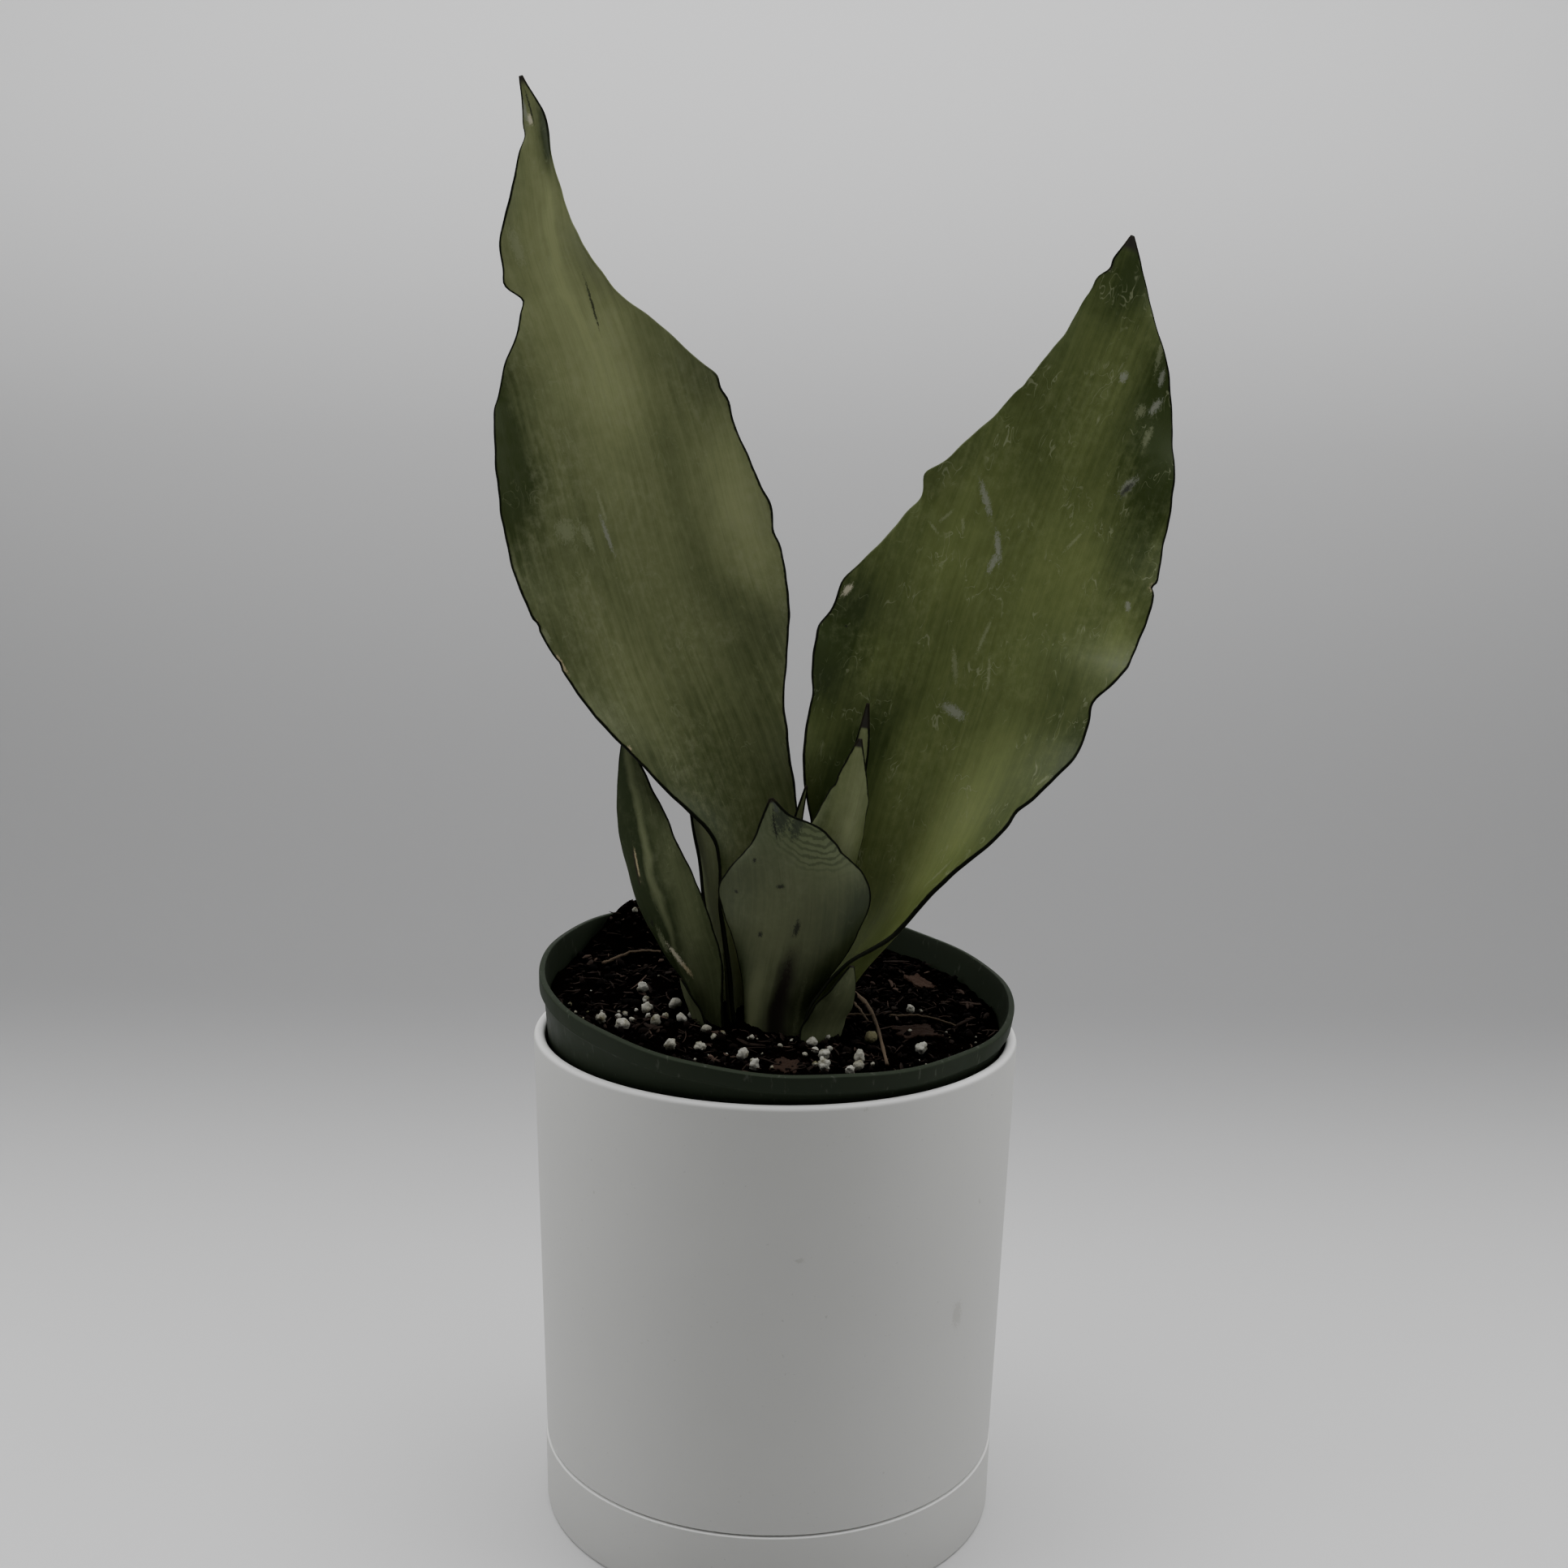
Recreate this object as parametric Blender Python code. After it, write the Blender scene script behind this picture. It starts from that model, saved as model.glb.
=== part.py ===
"""A potted snake plant: leaves in a thin nursery pot, which sits tilted in a cover pot on a saucer.

Lengths are metres and +Z is up. The origin is the centre of the saucer's flat underside, and the
pots' common axis is the Z axis. The plant is seen from the front by someone who looks along +Y.
"""

import math

import bmesh
import bpy
import numpy as np
from mathutils import Euler, Vector

MM = 0.001

# Cover pot: a tapered cylinder whose foot ring stands inside the saucer.
COVER_RIM_RADIUS = 59.0 * MM
COVER_SEAM_RADIUS = 56.3 * MM
COVER_HEIGHT = 103.5 * MM  # from the seam above the saucer to the rim
COVER_WALL = 2.7 * MM
COVER_FLOOR = 4.0 * MM
COVER_RIM_ROUND = 1.2 * MM
COVER_DRAIN_RADIUS = 6.0 * MM
FOOT_RING_HEIGHT = 2.0 * MM
FOOT_RING_WIDTH = 5.0 * MM

# Saucer: a dish whose outside runs on from the cover pot's.
SAUCER_HEIGHT = 17.8 * MM
SAUCER_BASE_RADIUS = 55.9 * MM
SAUCER_WALL = 3.2 * MM
SAUCER_FLOOR = 3.0 * MM
SAUCER_EDGE_ROUND = 1.0 * MM

# Nursery pot: a thin tapered pot, wedged in the cover pot's mouth with one side up.
NURSERY_WALL = 1.2 * MM
NURSERY_LIP_WIDTH = 0.8 * MM
NURSERY_LIP_HEIGHT = 4.0 * MM
NURSERY_SPARE_TAPER = 0.0112  # beyond the cover pot's taper and the tilt, so that it hangs clear
NURSERY_LIP_RISE = 0.6 * MM  # its lip's lowest point above the cover pot's rim
NURSERY_HANG = 24.0 * MM  # its lowest point above the cover pot's floor
NURSERY_TILT_BACK = math.radians(5.1)  # the back edge is up
NURSERY_TILT_LEFT = math.radians(3.95)  # the left edge is up
NURSERY_DRAINS = 6
NURSERY_DRAIN_RADIUS = 4.0 * MM

# Potting soil: level below the rim, with heaps that give its height, place and spread.
SOIL_DEPTH = 7.0 * MM
SOIL_HEAPS = (
    (10.5 * MM, -0.66, 0.66, 13 * MM),
    (3.5 * MM, -0.42, 0.0, 13 * MM),
    (-1.5 * MM, 0.55, 0.35, 16 * MM),
)

# Plant: GROWTH scales every leaf about the pots' axis at the soil's level.
GROWTH = 1.0
LEAF_THICKNESS = 2.4 * MM
ROOT_DEPTH = 6.0 * MM  # how far a leaf's base goes down to the rhizome
CROWN_AT = (-1.0 * MM, -10.0 * MM)
CROWN_RADII = (22.0 * MM, 15.5 * MM)
RHIZOME_HEIGHT = 14.0 * MM

# Litter on the soil.
GRAIN_SIZE = 3.2 * MM
CHIP_THICKNESS = 1.2 * MM
TWIG_RADIUS = 0.6 * MM

# Clearances.
TOUCH = 0.3 * MM  # between pieces that touch
SEAM_GAP = 0.5 * MM  # the dark line between cover pot and saucer
FOOT_CLEARANCE = 0.6 * MM  # cover pot's foot inside the saucer's wall
MOUTH_CLEARANCE = 0.4 * MM  # nursery pot inside the cover pot's mouth
ROOT_CLEARANCE = 0.6 * MM  # leaf bases above the rhizome
CROWN_CLEARANCE = 0.6 * MM  # rhizome and leaf bases inside the soil's well

POT_SEGMENTS = 64
SOIL_RINGS = 10

# A leaf's stations run up its midrib. Each gives, in millimetres and degrees: the midrib's x, y
# and height above the soil, the half-widths to the left and right of it as seen from the hollow
# side, the compass heading of the hollow side (0 is +X, 90 is +Y) and the radius that the blade
# curls to. A negative height stands for the root end, at the rhizome. Before the stations come
# the leaf's share of LEAF_THICKNESS and its numbers of mesh rows and columns.
LEAVES = {
    "leaf_tall_left": (
        1.0,
        (32, 10),
        [
            (-10.4, -7.5, -6, 9.0, 9.5, -8, 11.5),
            (-10.4, -7.0, 8, 8.5, 10.5, -20, 12),
            (-9.5, -5.0, 25, 6.5, 13.5, -48, 16),
            (-9.5, -2.0, 42, 7.5, 15.0, -62, 24),
            (-16.0, 2.0, 62, 16.5, 19.0, -75, 40),
            (-26.0, 6.0, 86, 26.0, 30.0, -82, 70),
            (-34.0, 9.0, 110, 31.0, 33.0, -86, 90),
            (-40.0, 12.0, 132, 30.0, 29.5, -88, 90),
            (-43.5, 13.5, 143, 27.5, 28.5, -88, 80),
            (-46.0, 15.0, 152, 24.5, 22.5, -90, 70),
            (-52.0, 17.0, 168, 13.0, 11.5, -92, 40),
            (-57.0, 18.5, 181, 12.0, 8.0, -95, 22),
            (-60.0, 20.5, 198, 6.0, 4.5, -95, 12),
            (-62.5, 22.0, 213, 1.7, 2.3, -95, 8),
            (-64.5, 22.5, 221, 0.5, 0.5, -95, 8),
        ],
    ),
    "leaf_tall_right": (
        1.0,
        (32, 10),
        [
            (12.5, -8.0, -6, 13.0, 16.0, 188, 11.5),
            (13.5, -8.0, 3, 14.0, 16.0, 188, 12),
            (19.0, -7.0, 12, 19.0, 14.5, 192, 14),
            (26.0, -5.0, 22, 24.0, 11.0, 205, 17),
            (31.5, -2.0, 36, 27.0, 15.0, 228, 26),
            (37.0, 1.0, 54, 34.0, 24.5, 245, 40),
            (42.5, 4.0, 72, 37.0, 30.5, 255, 70),
            (46.0, 5.5, 84, 39.0, 32.0, 258, 90),
            (48.5, 7.0, 94, 35.5, 35.5, 262, 100),
            (53.0, 9.5, 108, 28.5, 36.5, 264, 110),
            (58.0, 12.0, 122, 24.0, 34.5, 266, 120),
            (65.5, 15.0, 142, 14.0, 29.5, 268, 120),
            (73.0, 18.0, 160, 8.0, 20.0, 270, 90),
            (78.5, 20.5, 175, 5.0, 8.5, 270, 60),
            (82.0, 22.0, 187, 0.5, 0.5, 270, 40),
        ],
    ),
    "leaf_front_broad": (
        0.9,
        (16, 8),
        [
            (0.0, -17.6, -6, 7.5, 8.5, 88, 9.5),
            (0.0, -17.6, 5, 8.5, 9.0, 88, 10),
            (1.5, -17.8, 14, 12.5, 12.0, 88, 16),
            (3.0, -18.2, 24, 17.5, 17.0, 88, 24),
            (3.5, -18.6, 33, 19.5, 19.5, 88, 28),
            (3.0, -18.8, 39, 14.5, 16.5, 88, 28),
            (1.5, -19.0, 46, 8.5, 10.0, 88, 24),
            (-0.5, -19.0, 51, 3.5, 4.5, 88, 20),
            (-2.0, -19.0, 56, 0.5, 0.5, 88, 20),
        ],
    ),
    "leaf_left_short": (
        0.9,
        (14, 8),
        [
            (-16.9, -12.6, -6, 6.5, 6.0, 25, 10.5),
            (-17.2, -12.6, 3, 7.0, 7.5, 30, 10.5),
            (-23.0, -12.0, 20, 9.0, 10.5, 60, 12),
            (-28.0, -8.5, 34, 7.5, 11.0, 72, 13),
            (-31.5, -4.5, 45, 5.5, 9.5, 75, 13),
            (-35.0, 0.0, 56, 3.5, 5.5, 75, 13),
            (-38.0, 5.0, 66, 0.5, 0.5, 75, 13),
        ],
    ),
    "leaf_back_left": (
        0.8,
        (12, 4),
        [
            (-13.8, -6.4, -6, 5.5, 5.5, -10, 15),
            (-13.8, -6.4, 4, 5.5, 5.5, -12, 15),
            (-15.5, -4.5, 20, 6.0, 6.0, -20, 15),
            (-17.0, -1.0, 36, 6.0, 6.0, -30, 16),
            (-20.0, 3.0, 52, 4.5, 4.5, -35, 16),
            (-23.5, 7.0, 66, 0.5, 0.5, -35, 16),
        ],
    ),
    "leaf_inner_front": (
        0.75,
        (12, 6),
        [
            (4.0, -11.0, -6, 5.5, 5.5, 90, 5.0),
            (4.5, -11.0, 8, 6.0, 6.0, 90, 5.2),
            (8.5, -11.0, 26, 7.0, 7.0, 95, 6),
            (12.7, -11.0, 42, 8.0, 7.7, 95, 8.5),
            (15.8, -11.0, 54, 5.5, 5.2, 95, 8.5),
            (18.6, -11.0, 69, 0.5, 0.5, 95, 8),
        ],
    ),
    "leaf_inner_rear": (
        0.6,
        (12, 4),
        [
            (6.0, -5.0, -6, 2.4, 2.4, 190, 2.6),
            (6.5, -5.0, 10, 2.4, 2.4, 190, 2.6),
            (12.0, -5.5, 34, 2.6, 2.6, 200, 3.5),
            (17.2, -6.0, 54, 3.0, 3.0, 230, 5),
            (19.5, -7.5, 68, 1.8, 1.6, 250, 5),
            (20.3, -8.4, 77, 0.4, 0.4, 250, 5),
        ],
    ),
    "leaf_sprout": (
        0.6,
        (10, 4),
        [
            (-3.0, -7.5, -6, 1.6, 1.6, -60, 3),
            (-1.5, -7.5, 20, 2.0, 2.0, -60, 3),
            (2.8, -7.5, 42, 2.0, 2.0, -60, 4),
            (6.3, -7.5, 57, 0.4, 0.4, -60, 4),
        ],
    ),
    "sheath_right": (
        0.65,
        (8, 4),
        [
            (10.6, -20.5, -6, 9.0, 6.0, 130, 15),
            (11.5, -20.8, 2, 9.0, 6.0, 130, 15),
            (15.2, -21.4, 10, 5.5, 4.0, 130, 15),
            (17.6, -21.4, 17, 0.8, 0.8, 130, 15),
        ],
    ),
    "sheath_left": (
        0.6,
        (8, 4),
        [
            (-18.9, -14.6, -6, 5.0, 5.0, 25, 13.2),
            (-19.3, -14.8, 2, 5.0, 5.0, 25, 13.2),
            (-21.0, -15.4, 7, 3.2, 3.2, 25, 13.2),
            (-22.6, -15.6, 11.5, 0.6, 0.6, 25, 13.2),
        ],
    ),
}

# Places on the soil as a bearing from +X in degrees and a share of the way to the soil's edge.
GRAINS = (
    (208, 0.84), (215, 0.79), (189, 0.60), (235, 0.75), (243, 0.68), (206, 0.62), (259, 0.66),
    (264, 0.74), (290, 0.62), (287, 0.72), (294, 0.78), (302, 0.68), (326, 0.76), (4, 0.61),
)  # fmt: skip
CHIPS = (
    ((341, 0.66), (11.0 * MM, 7.5 * MM), 20),
    ((275, 0.70), (8.0 * MM, 6.5 * MM), 70),
    ((32, 0.80), (10.0 * MM, 5.0 * MM), 120),
)
TWIG = ((47, 0.44), (12, 0.42), (335, 0.50), (308, 0.78))

LEAF_COLOR = (0.105, 0.125, 0.058)
WHITE = (0.62, 0.62, 0.61)


def material(name, color, roughness):
    """A plain Principled material of that name, made once."""
    found = bpy.data.materials.get(name)
    if found:
        return found
    made = bpy.data.materials.new(name)
    made.use_nodes = True
    shader = made.node_tree.nodes["Principled BSDF"]
    shader.inputs["Base Color"].default_value = (*color, 1)
    shader.inputs["Roughness"].default_value = roughness
    shader.inputs["Metallic"].default_value = 0
    return made


def add_object(name, mesh, finish, parent=None):
    """Link a mesh as a smooth-shaded object with its material."""
    made = bpy.data.objects.new(name, mesh)
    bpy.context.scene.collection.objects.link(made)
    mesh.materials.append(material(*finish))
    mesh.shade_smooth()
    mesh.set_sharp_from_angle(angle=math.radians(40))
    made.parent = parent
    return made


def rounded(corners, steps=3):
    """Points of an outline given as (radius, height, fillet radius) corners."""
    points = []
    for i, (r, z, fillet) in enumerate(corners):
        here = Vector((r, z))
        if not fillet:
            points.append(here)
            continue
        to_last = (Vector(corners[i - 1][:2]) - here).normalized()
        to_next = (Vector(corners[(i + 1) % len(corners)][:2]) - here).normalized()
        half = to_last.angle(to_next) / 2
        centre = here + (to_last + to_next).normalized() * fillet / math.sin(half)
        start = here + to_last * fillet / math.tan(half) - centre
        end = here + to_next * fillet / math.tan(half) - centre
        turn = math.atan2(start.cross(end), start.dot(end))
        first = math.atan2(start.y, start.x)
        for step in range(steps + 1):
            angle = first + turn * step / steps
            points.append(centre + fillet * Vector((math.cos(angle), math.sin(angle))))
    return points


def turned(name, outline, finish, closed=True, parent=None):
    """A solid turned about Z from an outline that runs down its outer side."""
    mesh = bpy.data.meshes.new(name)
    count = len(outline)
    edges = [(i, (i + 1) % count) for i in range(count if closed else count - 1)]
    mesh.from_pydata([(p[0], 0, p[1]) for p in outline], edges, [])
    made = add_object(name, mesh, finish, parent)
    screw = made.modifiers.new("turn", "SCREW")
    screw.steps = POT_SEGMENTS
    screw.render_steps = POT_SEGMENTS
    screw.use_merge_vertices = True
    screw.merge_threshold = 0.00001
    screw.use_smooth_shade = True
    return made


def drum(name, radius, low, high, at=(0, 0), squash=(1, 1), parent=None):
    """A vertical cutter between two heights."""
    mesh = bpy.data.meshes.new(name)
    shape = bmesh.new()
    bmesh.ops.create_cone(
        shape, cap_ends=True, segments=32, radius1=radius, radius2=radius, depth=high - low
    )
    for vertex in shape.verts:
        vertex.co.x = vertex.co.x * squash[0] + at[0]
        vertex.co.y = vertex.co.y * squash[1] + at[1]
        vertex.co.z += (low + high) / 2
    shape.to_mesh(mesh)
    shape.free()
    made = bpy.data.objects.new(name, mesh)
    bpy.context.scene.collection.objects.link(made)
    made.parent = parent
    made.hide_render = True
    made.display_type = "WIRE"
    return made


def cut(target, cutter):
    """Take a cutter's shape out of a target."""
    boolean = target.modifiers.new(cutter.name, "BOOLEAN")
    boolean.object = cutter
    boolean.operation = "DIFFERENCE"


# Heights and places that several pieces share.
seam_height = SAUCER_HEIGHT + SEAM_GAP
cover_rim_height = SAUCER_HEIGHT + COVER_HEIGHT
foot_height = SAUCER_FLOOR + TOUCH
cover_floor_height = foot_height + FOOT_RING_HEIGHT + COVER_FLOOR
saucer_inside = COVER_SEAM_RADIUS - SAUCER_WALL
foot_radius = saucer_inside - FOOT_CLEARANCE
cover_inside_low = foot_radius - COVER_WALL
cover_inside_high = COVER_RIM_RADIUS - COVER_WALL
cover_taper = (COVER_RIM_RADIUS - COVER_SEAM_RADIUS) / (cover_rim_height - seam_height)

tilt = Euler((NURSERY_TILT_BACK, NURSERY_TILT_LEFT, 0)).to_matrix()
tilt_up = tilt @ Vector((0, 0, 1))
lean = math.acos(tilt_up.z)
down_slope = Vector((tilt_up.x, tilt_up.y)).normalized()  # towards the rim's low side

# The tilted pot's section at the cover pot's mouth is centred there with equal clearance, and
# the low side of its lip stands just above the cover pot's rim.
nursery_taper = cover_taper + math.tan(lean) + NURSERY_SPARE_TAPER
lip_drop = NURSERY_LIP_HEIGHT + NURSERY_WALL
mouth = cover_inside_high - MOUTH_CLEARANCE
nursery_radius = (
    mouth * (1 - math.tan(lean) * math.sin(lean))
    + nursery_taper
    * (NURSERY_LIP_RISE + lip_drop * math.cos(lean) + NURSERY_LIP_WIDTH * math.sin(lean))
) / (math.cos(lean) - nursery_taper * math.sin(lean))
nursery_proud = (
    NURSERY_LIP_RISE
    + lip_drop * math.cos(lean)
    + (nursery_radius + NURSERY_LIP_WIDTH) * math.sin(lean)
)
nursery_shift = nursery_proud * math.tan(lean) - nursery_taper * mouth * math.sin(lean)
nursery_drop = cover_rim_height + nursery_proud - cover_floor_height - NURSERY_HANG
nursery_height = (nursery_drop - nursery_radius * math.sin(lean)) / (
    math.cos(lean) - nursery_taper * math.sin(lean)
)
nursery_centre = Vector((*(down_slope * nursery_shift), cover_rim_height + nursery_proud))


def nursery_outside(depth):
    """The nursery pot's outer radius at a depth below its rim."""
    return nursery_radius - nursery_taper * depth


def soil_outside(depth):
    """The soil's radius at a depth below the nursery pot's rim."""
    return nursery_outside(depth) - NURSERY_WALL - TOUCH


soil_edge = soil_outside(SOIL_DEPTH)


def soil_top(x, y):
    """The soil's height over the rim's plane, in the nursery pot's own frame."""
    height = -SOIL_DEPTH
    for rise, east, north, spread in SOIL_HEAPS:
        away = math.hypot(x - east * soil_edge, y - north * soil_edge)
        height += rise * math.exp(-((away / spread) ** 2))
    return height


def crown_height():
    """The world height of the level soil at the plant's crown."""
    x, y = (Vector(CROWN_AT) * GROWTH) - nursery_centre.xy
    rim = nursery_centre.z - (tilt_up.x * x + tilt_up.y * y) / tilt_up.z
    return rim - SOIL_DEPTH / tilt_up.z


def build_saucer():
    """The dish under the cover pot, with a flat underside."""
    edge = SAUCER_EDGE_ROUND
    corners = [
        (0, SAUCER_FLOOR, 0),
        (saucer_inside, SAUCER_FLOOR, edge),
        (saucer_inside, SAUCER_HEIGHT, 0.4 * edge),
        (COVER_SEAM_RADIUS, SAUCER_HEIGHT, 0.4 * edge),
        (SAUCER_BASE_RADIUS, 0, edge),
        (0, 0, 0),
    ]
    turned("saucer", rounded(corners), ("glazed_white", WHITE, 0.55), closed=False)


def build_cover_pot():
    """The tapered outer pot, with a drain hole in its floor and a foot ring under it."""
    foot_inside = foot_radius - FOOT_RING_WIDTH
    underside = foot_height + FOOT_RING_HEIGHT
    corners = [
        (COVER_DRAIN_RADIUS, cover_floor_height, 0),
        (cover_inside_low, cover_floor_height, 3 * MM),
        (COVER_SEAM_RADIUS - COVER_WALL, seam_height + COVER_WALL, 0),
        (cover_inside_high, cover_rim_height, COVER_RIM_ROUND),
        (COVER_RIM_RADIUS, cover_rim_height, COVER_RIM_ROUND),
        (COVER_SEAM_RADIUS, seam_height, 0.4 * MM),
        (foot_radius, seam_height, 0),
        (foot_radius, foot_height, 0.6 * MM),
        (foot_inside, foot_height, 0.6 * MM),
        (foot_inside, underside, 0),
        (COVER_DRAIN_RADIUS, underside, 0),
    ]
    turned("cover_pot", rounded(corners), ("glazed_white", WHITE, 0.55))


def build_nursery_pot(seat):
    """The thin inner pot with a lip round its rim and drain holes in its bottom."""
    wall = NURSERY_WALL
    lip = nursery_radius + NURSERY_LIP_WIDTH
    bottom = nursery_height
    corners = [
        (0, -bottom + wall, 0),
        (nursery_outside(bottom - wall) - wall, -bottom + wall, 0),
        (nursery_radius - wall, 0, 0.4 * MM),
        (lip, 0, 0.4 * MM),
        (lip - 0.3 * MM, -NURSERY_LIP_HEIGHT, 0.4 * MM),
        (nursery_outside(NURSERY_LIP_HEIGHT + wall), -NURSERY_LIP_HEIGHT - wall, 0),
        (nursery_outside(bottom), -bottom, 1.0 * MM),
        (0, -bottom, 0),
    ]
    pot = turned(
        "nursery_pot", rounded(corners, 3), ("green_plastic", (0.02, 0.03, 0.018), 0.45),
        closed=False, parent=seat,
    )  # fmt: skip
    ring = nursery_outside(bottom) - wall - 2.5 * NURSERY_DRAIN_RADIUS
    for i in range(NURSERY_DRAINS):
        turn = 2 * math.pi * i / NURSERY_DRAINS
        at = (ring * math.cos(turn), ring * math.sin(turn))
        hole = drum(
            f"nursery_drain_{i}", NURSERY_DRAIN_RADIUS, -bottom - wall, -bottom + 2 * wall, at,
            parent=seat,
        )  # fmt: skip
        cut(pot, hole)


def build_soil(seat):
    """The soil that fills the nursery pot, with a well for the plant's crown."""
    low = -nursery_height + NURSERY_WALL + TOUCH
    points = [(0, 0, soil_top(0, 0))]
    turns = [2 * math.pi * i / POT_SEGMENTS for i in range(POT_SEGMENTS)]
    for ring in range(1, SOIL_RINGS + 1):
        for turn in turns:
            east, north = math.cos(turn), math.sin(turn)
            depth = -soil_top(soil_edge * east, soil_edge * north)
            radius = soil_outside(max(depth, 0)) * ring / SOIL_RINGS
            x, y = radius * east, radius * north
            points.append((x, y, soil_top(x, y)))
    foot = soil_outside(-low)
    points += [(foot * math.cos(turn), foot * math.sin(turn), low) for turn in turns]
    points.append((0, 0, low))
    faces = []
    for i in range(POT_SEGMENTS):
        j = (i + 1) % POT_SEGMENTS
        faces.append((0, 1 + i, 1 + j))
        for ring in range(SOIL_RINGS):
            start = 1 + ring * POT_SEGMENTS
            faces.append((start + i, start + POT_SEGMENTS + i, start + POT_SEGMENTS + j, start + j))
        last = 1 + SOIL_RINGS * POT_SEGMENTS
        faces.append((len(points) - 1, last + j, last + i))
    mesh = bpy.data.meshes.new("potting_soil")
    mesh.from_pydata(points, [], faces)
    soil = add_object("potting_soil", mesh, ("soil", (0.012, 0.009, 0.007), 0.95), seat)
    well_floor = crown_height() - ROOT_DEPTH - ROOT_CLEARANCE - RHIZOME_HEIGHT - CROWN_CLEARANCE
    reach = [(radius * GROWTH + CROWN_CLEARANCE) for radius in CROWN_RADII]
    middle = [place * GROWTH for place in CROWN_AT]
    well = drum("crown_well", 1, well_floor, cover_rim_height + 60 * MM, middle, reach)
    cut(soil, well)


def build_rhizome():
    """The plant's underground stem, a squat knob under the leaves."""
    top = crown_height() - ROOT_DEPTH - ROOT_CLEARANCE
    low = top - RHIZOME_HEIGHT
    corners = [
        (0, top, 0),
        (1, top, 0),
        (1, top - 0.6 * RHIZOME_HEIGHT, 0),
        (0.8, top - 0.85 * RHIZOME_HEIGHT, 0),
        (0.45, low, 0),
        (0, low, 0),
    ]
    knob = turned("rhizome", rounded(corners), ("root", (0.22, 0.15, 0.07), 0.8), closed=False)
    knob.location = (CROWN_AT[0] * GROWTH, CROWN_AT[1] * GROWTH, 0)
    knob.scale = (CROWN_RADII[0] * GROWTH, CROWN_RADII[1] * GROWTH, 1)
    knob.modifiers["turn"].steps = 32
    knob.modifiers["turn"].render_steps = 32


def through(knots, values, places):
    """A smooth curve through the values at the knots, read at the places."""
    slopes = np.gradient(values, knots, axis=0)
    low = np.clip(np.searchsorted(knots, places, side="right") - 1, 0, len(knots) - 2)
    span = (knots[low + 1] - knots[low])[:, None]
    t = (places - knots[low])[:, None] / span
    return (
        (1 + 2 * t) * (1 - t) ** 2 * values[low]
        + t * (1 - t) ** 2 * span * slopes[low]
        + t**2 * (3 - 2 * t) * values[low + 1]
        + t**2 * (t - 1) * span * slopes[low + 1]
    )


def unit(vectors):
    """The vectors at length one."""
    return vectors / np.linalg.norm(vectors, axis=-1, keepdims=True)


def leaf_stations(stations):
    """Stations in metres and radians, with the midrib's heights over the saucer's underside."""
    table = np.array(stations, float)
    table[:, [0, 1, 2, 3, 4, 6]] *= MM * GROWTH
    table[0, 2] = -ROOT_DEPTH
    table[:, 2] += crown_height()
    table[:, 5] = np.radians(table[:, 5])
    return table


def leaf_surface(table, rows, share):
    """A leaf's middle surface as rows of points from base to tip, and how far up each row is."""
    knots = np.concatenate([[0], np.cumsum(np.linalg.norm(np.diff(table[:, :3], axis=0), axis=1))])
    places = np.linspace(0, knots[-1], rows + 1)
    read = through(knots, table, places)
    midrib, left, right, heading, curl = read[:, :3], read[:, 3], read[:, 4], read[:, 5], read[:, 6]
    along = unit(np.gradient(midrib, places, axis=0))
    facing = np.stack([np.cos(heading), np.sin(heading), 0 * heading], axis=1)
    hollow = unit(facing - (facing * along).sum(axis=1, keepdims=True) * along)
    across = np.cross(along, hollow)
    width = np.where(share < 0, share * left[:, None], share * right[:, None])
    turn = width / curl[:, None]
    sideways = np.sin(turn) * curl[:, None]
    inward = (1 - np.cos(turn)) * curl[:, None]
    surface = (
        midrib[:, None] + across[:, None] * sideways[..., None] + hollow[:, None] * inward[..., None]
    )
    return surface, places / places[-1]


def build_leaf(name, thickness, grid, stations):
    """A thin closed leaf that thins towards its margins and tip."""
    share = np.linspace(-1, 1, grid[1] + 1)
    surface, height = leaf_surface(leaf_stations(stations), grid[0], share)
    normal = unit(np.cross(np.gradient(surface, axis=0), np.gradient(surface, axis=1)))
    along = np.interp(height, (0, 0.25, 0.8, 1), (1, 1, 0.6, 0.35))
    half = thickness / 2 * along[:, None] * (1 - 0.55 * share**2)
    sheets = np.stack([surface + normal * half[..., None], surface - normal * half[..., None]])
    rows, columns = surface.shape[:2]

    def at(side, row, column):
        return (side * rows + row) * columns + column

    faces = []
    for i in range(rows - 1):
        for j in range(columns - 1):
            faces.append((at(0, i, j), at(0, i + 1, j), at(0, i + 1, j + 1), at(0, i, j + 1)))
            faces.append((at(1, i, j), at(1, i, j + 1), at(1, i + 1, j + 1), at(1, i + 1, j)))
        last = columns - 1
        faces.append((at(0, i, 0), at(1, i, 0), at(1, i + 1, 0), at(0, i + 1, 0)))
        faces.append((at(0, i, last), at(0, i + 1, last), at(1, i + 1, last), at(1, i, last)))
    for j in range(columns - 1):
        top = rows - 1
        faces.append((at(0, 0, j), at(0, 0, j + 1), at(1, 0, j + 1), at(1, 0, j)))
        faces.append((at(0, top, j), at(1, top, j), at(1, top, j + 1), at(0, top, j + 1)))
    mesh = bpy.data.meshes.new(name)
    mesh.from_pydata(sheets.reshape(-1, 3).tolist(), [], faces)
    return add_object(name, mesh, ("leaf", LEAF_COLOR, 0.5))


def soil_place(bearing, share):
    """A point on the soil in the nursery pot's frame, without its height."""
    turn = math.radians(bearing)
    return soil_edge * share * math.cos(turn), soil_edge * share * math.sin(turn)


def resting_height(x, y, reach):
    """The height just clear of the highest soil within reach of a point."""
    ring = [2 * math.pi * i / 8 for i in range(8)]
    around = [soil_top(x + reach * math.cos(t), y + reach * math.sin(t)) for t in ring]
    return max(soil_top(x, y), *around) + TOUCH


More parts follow.
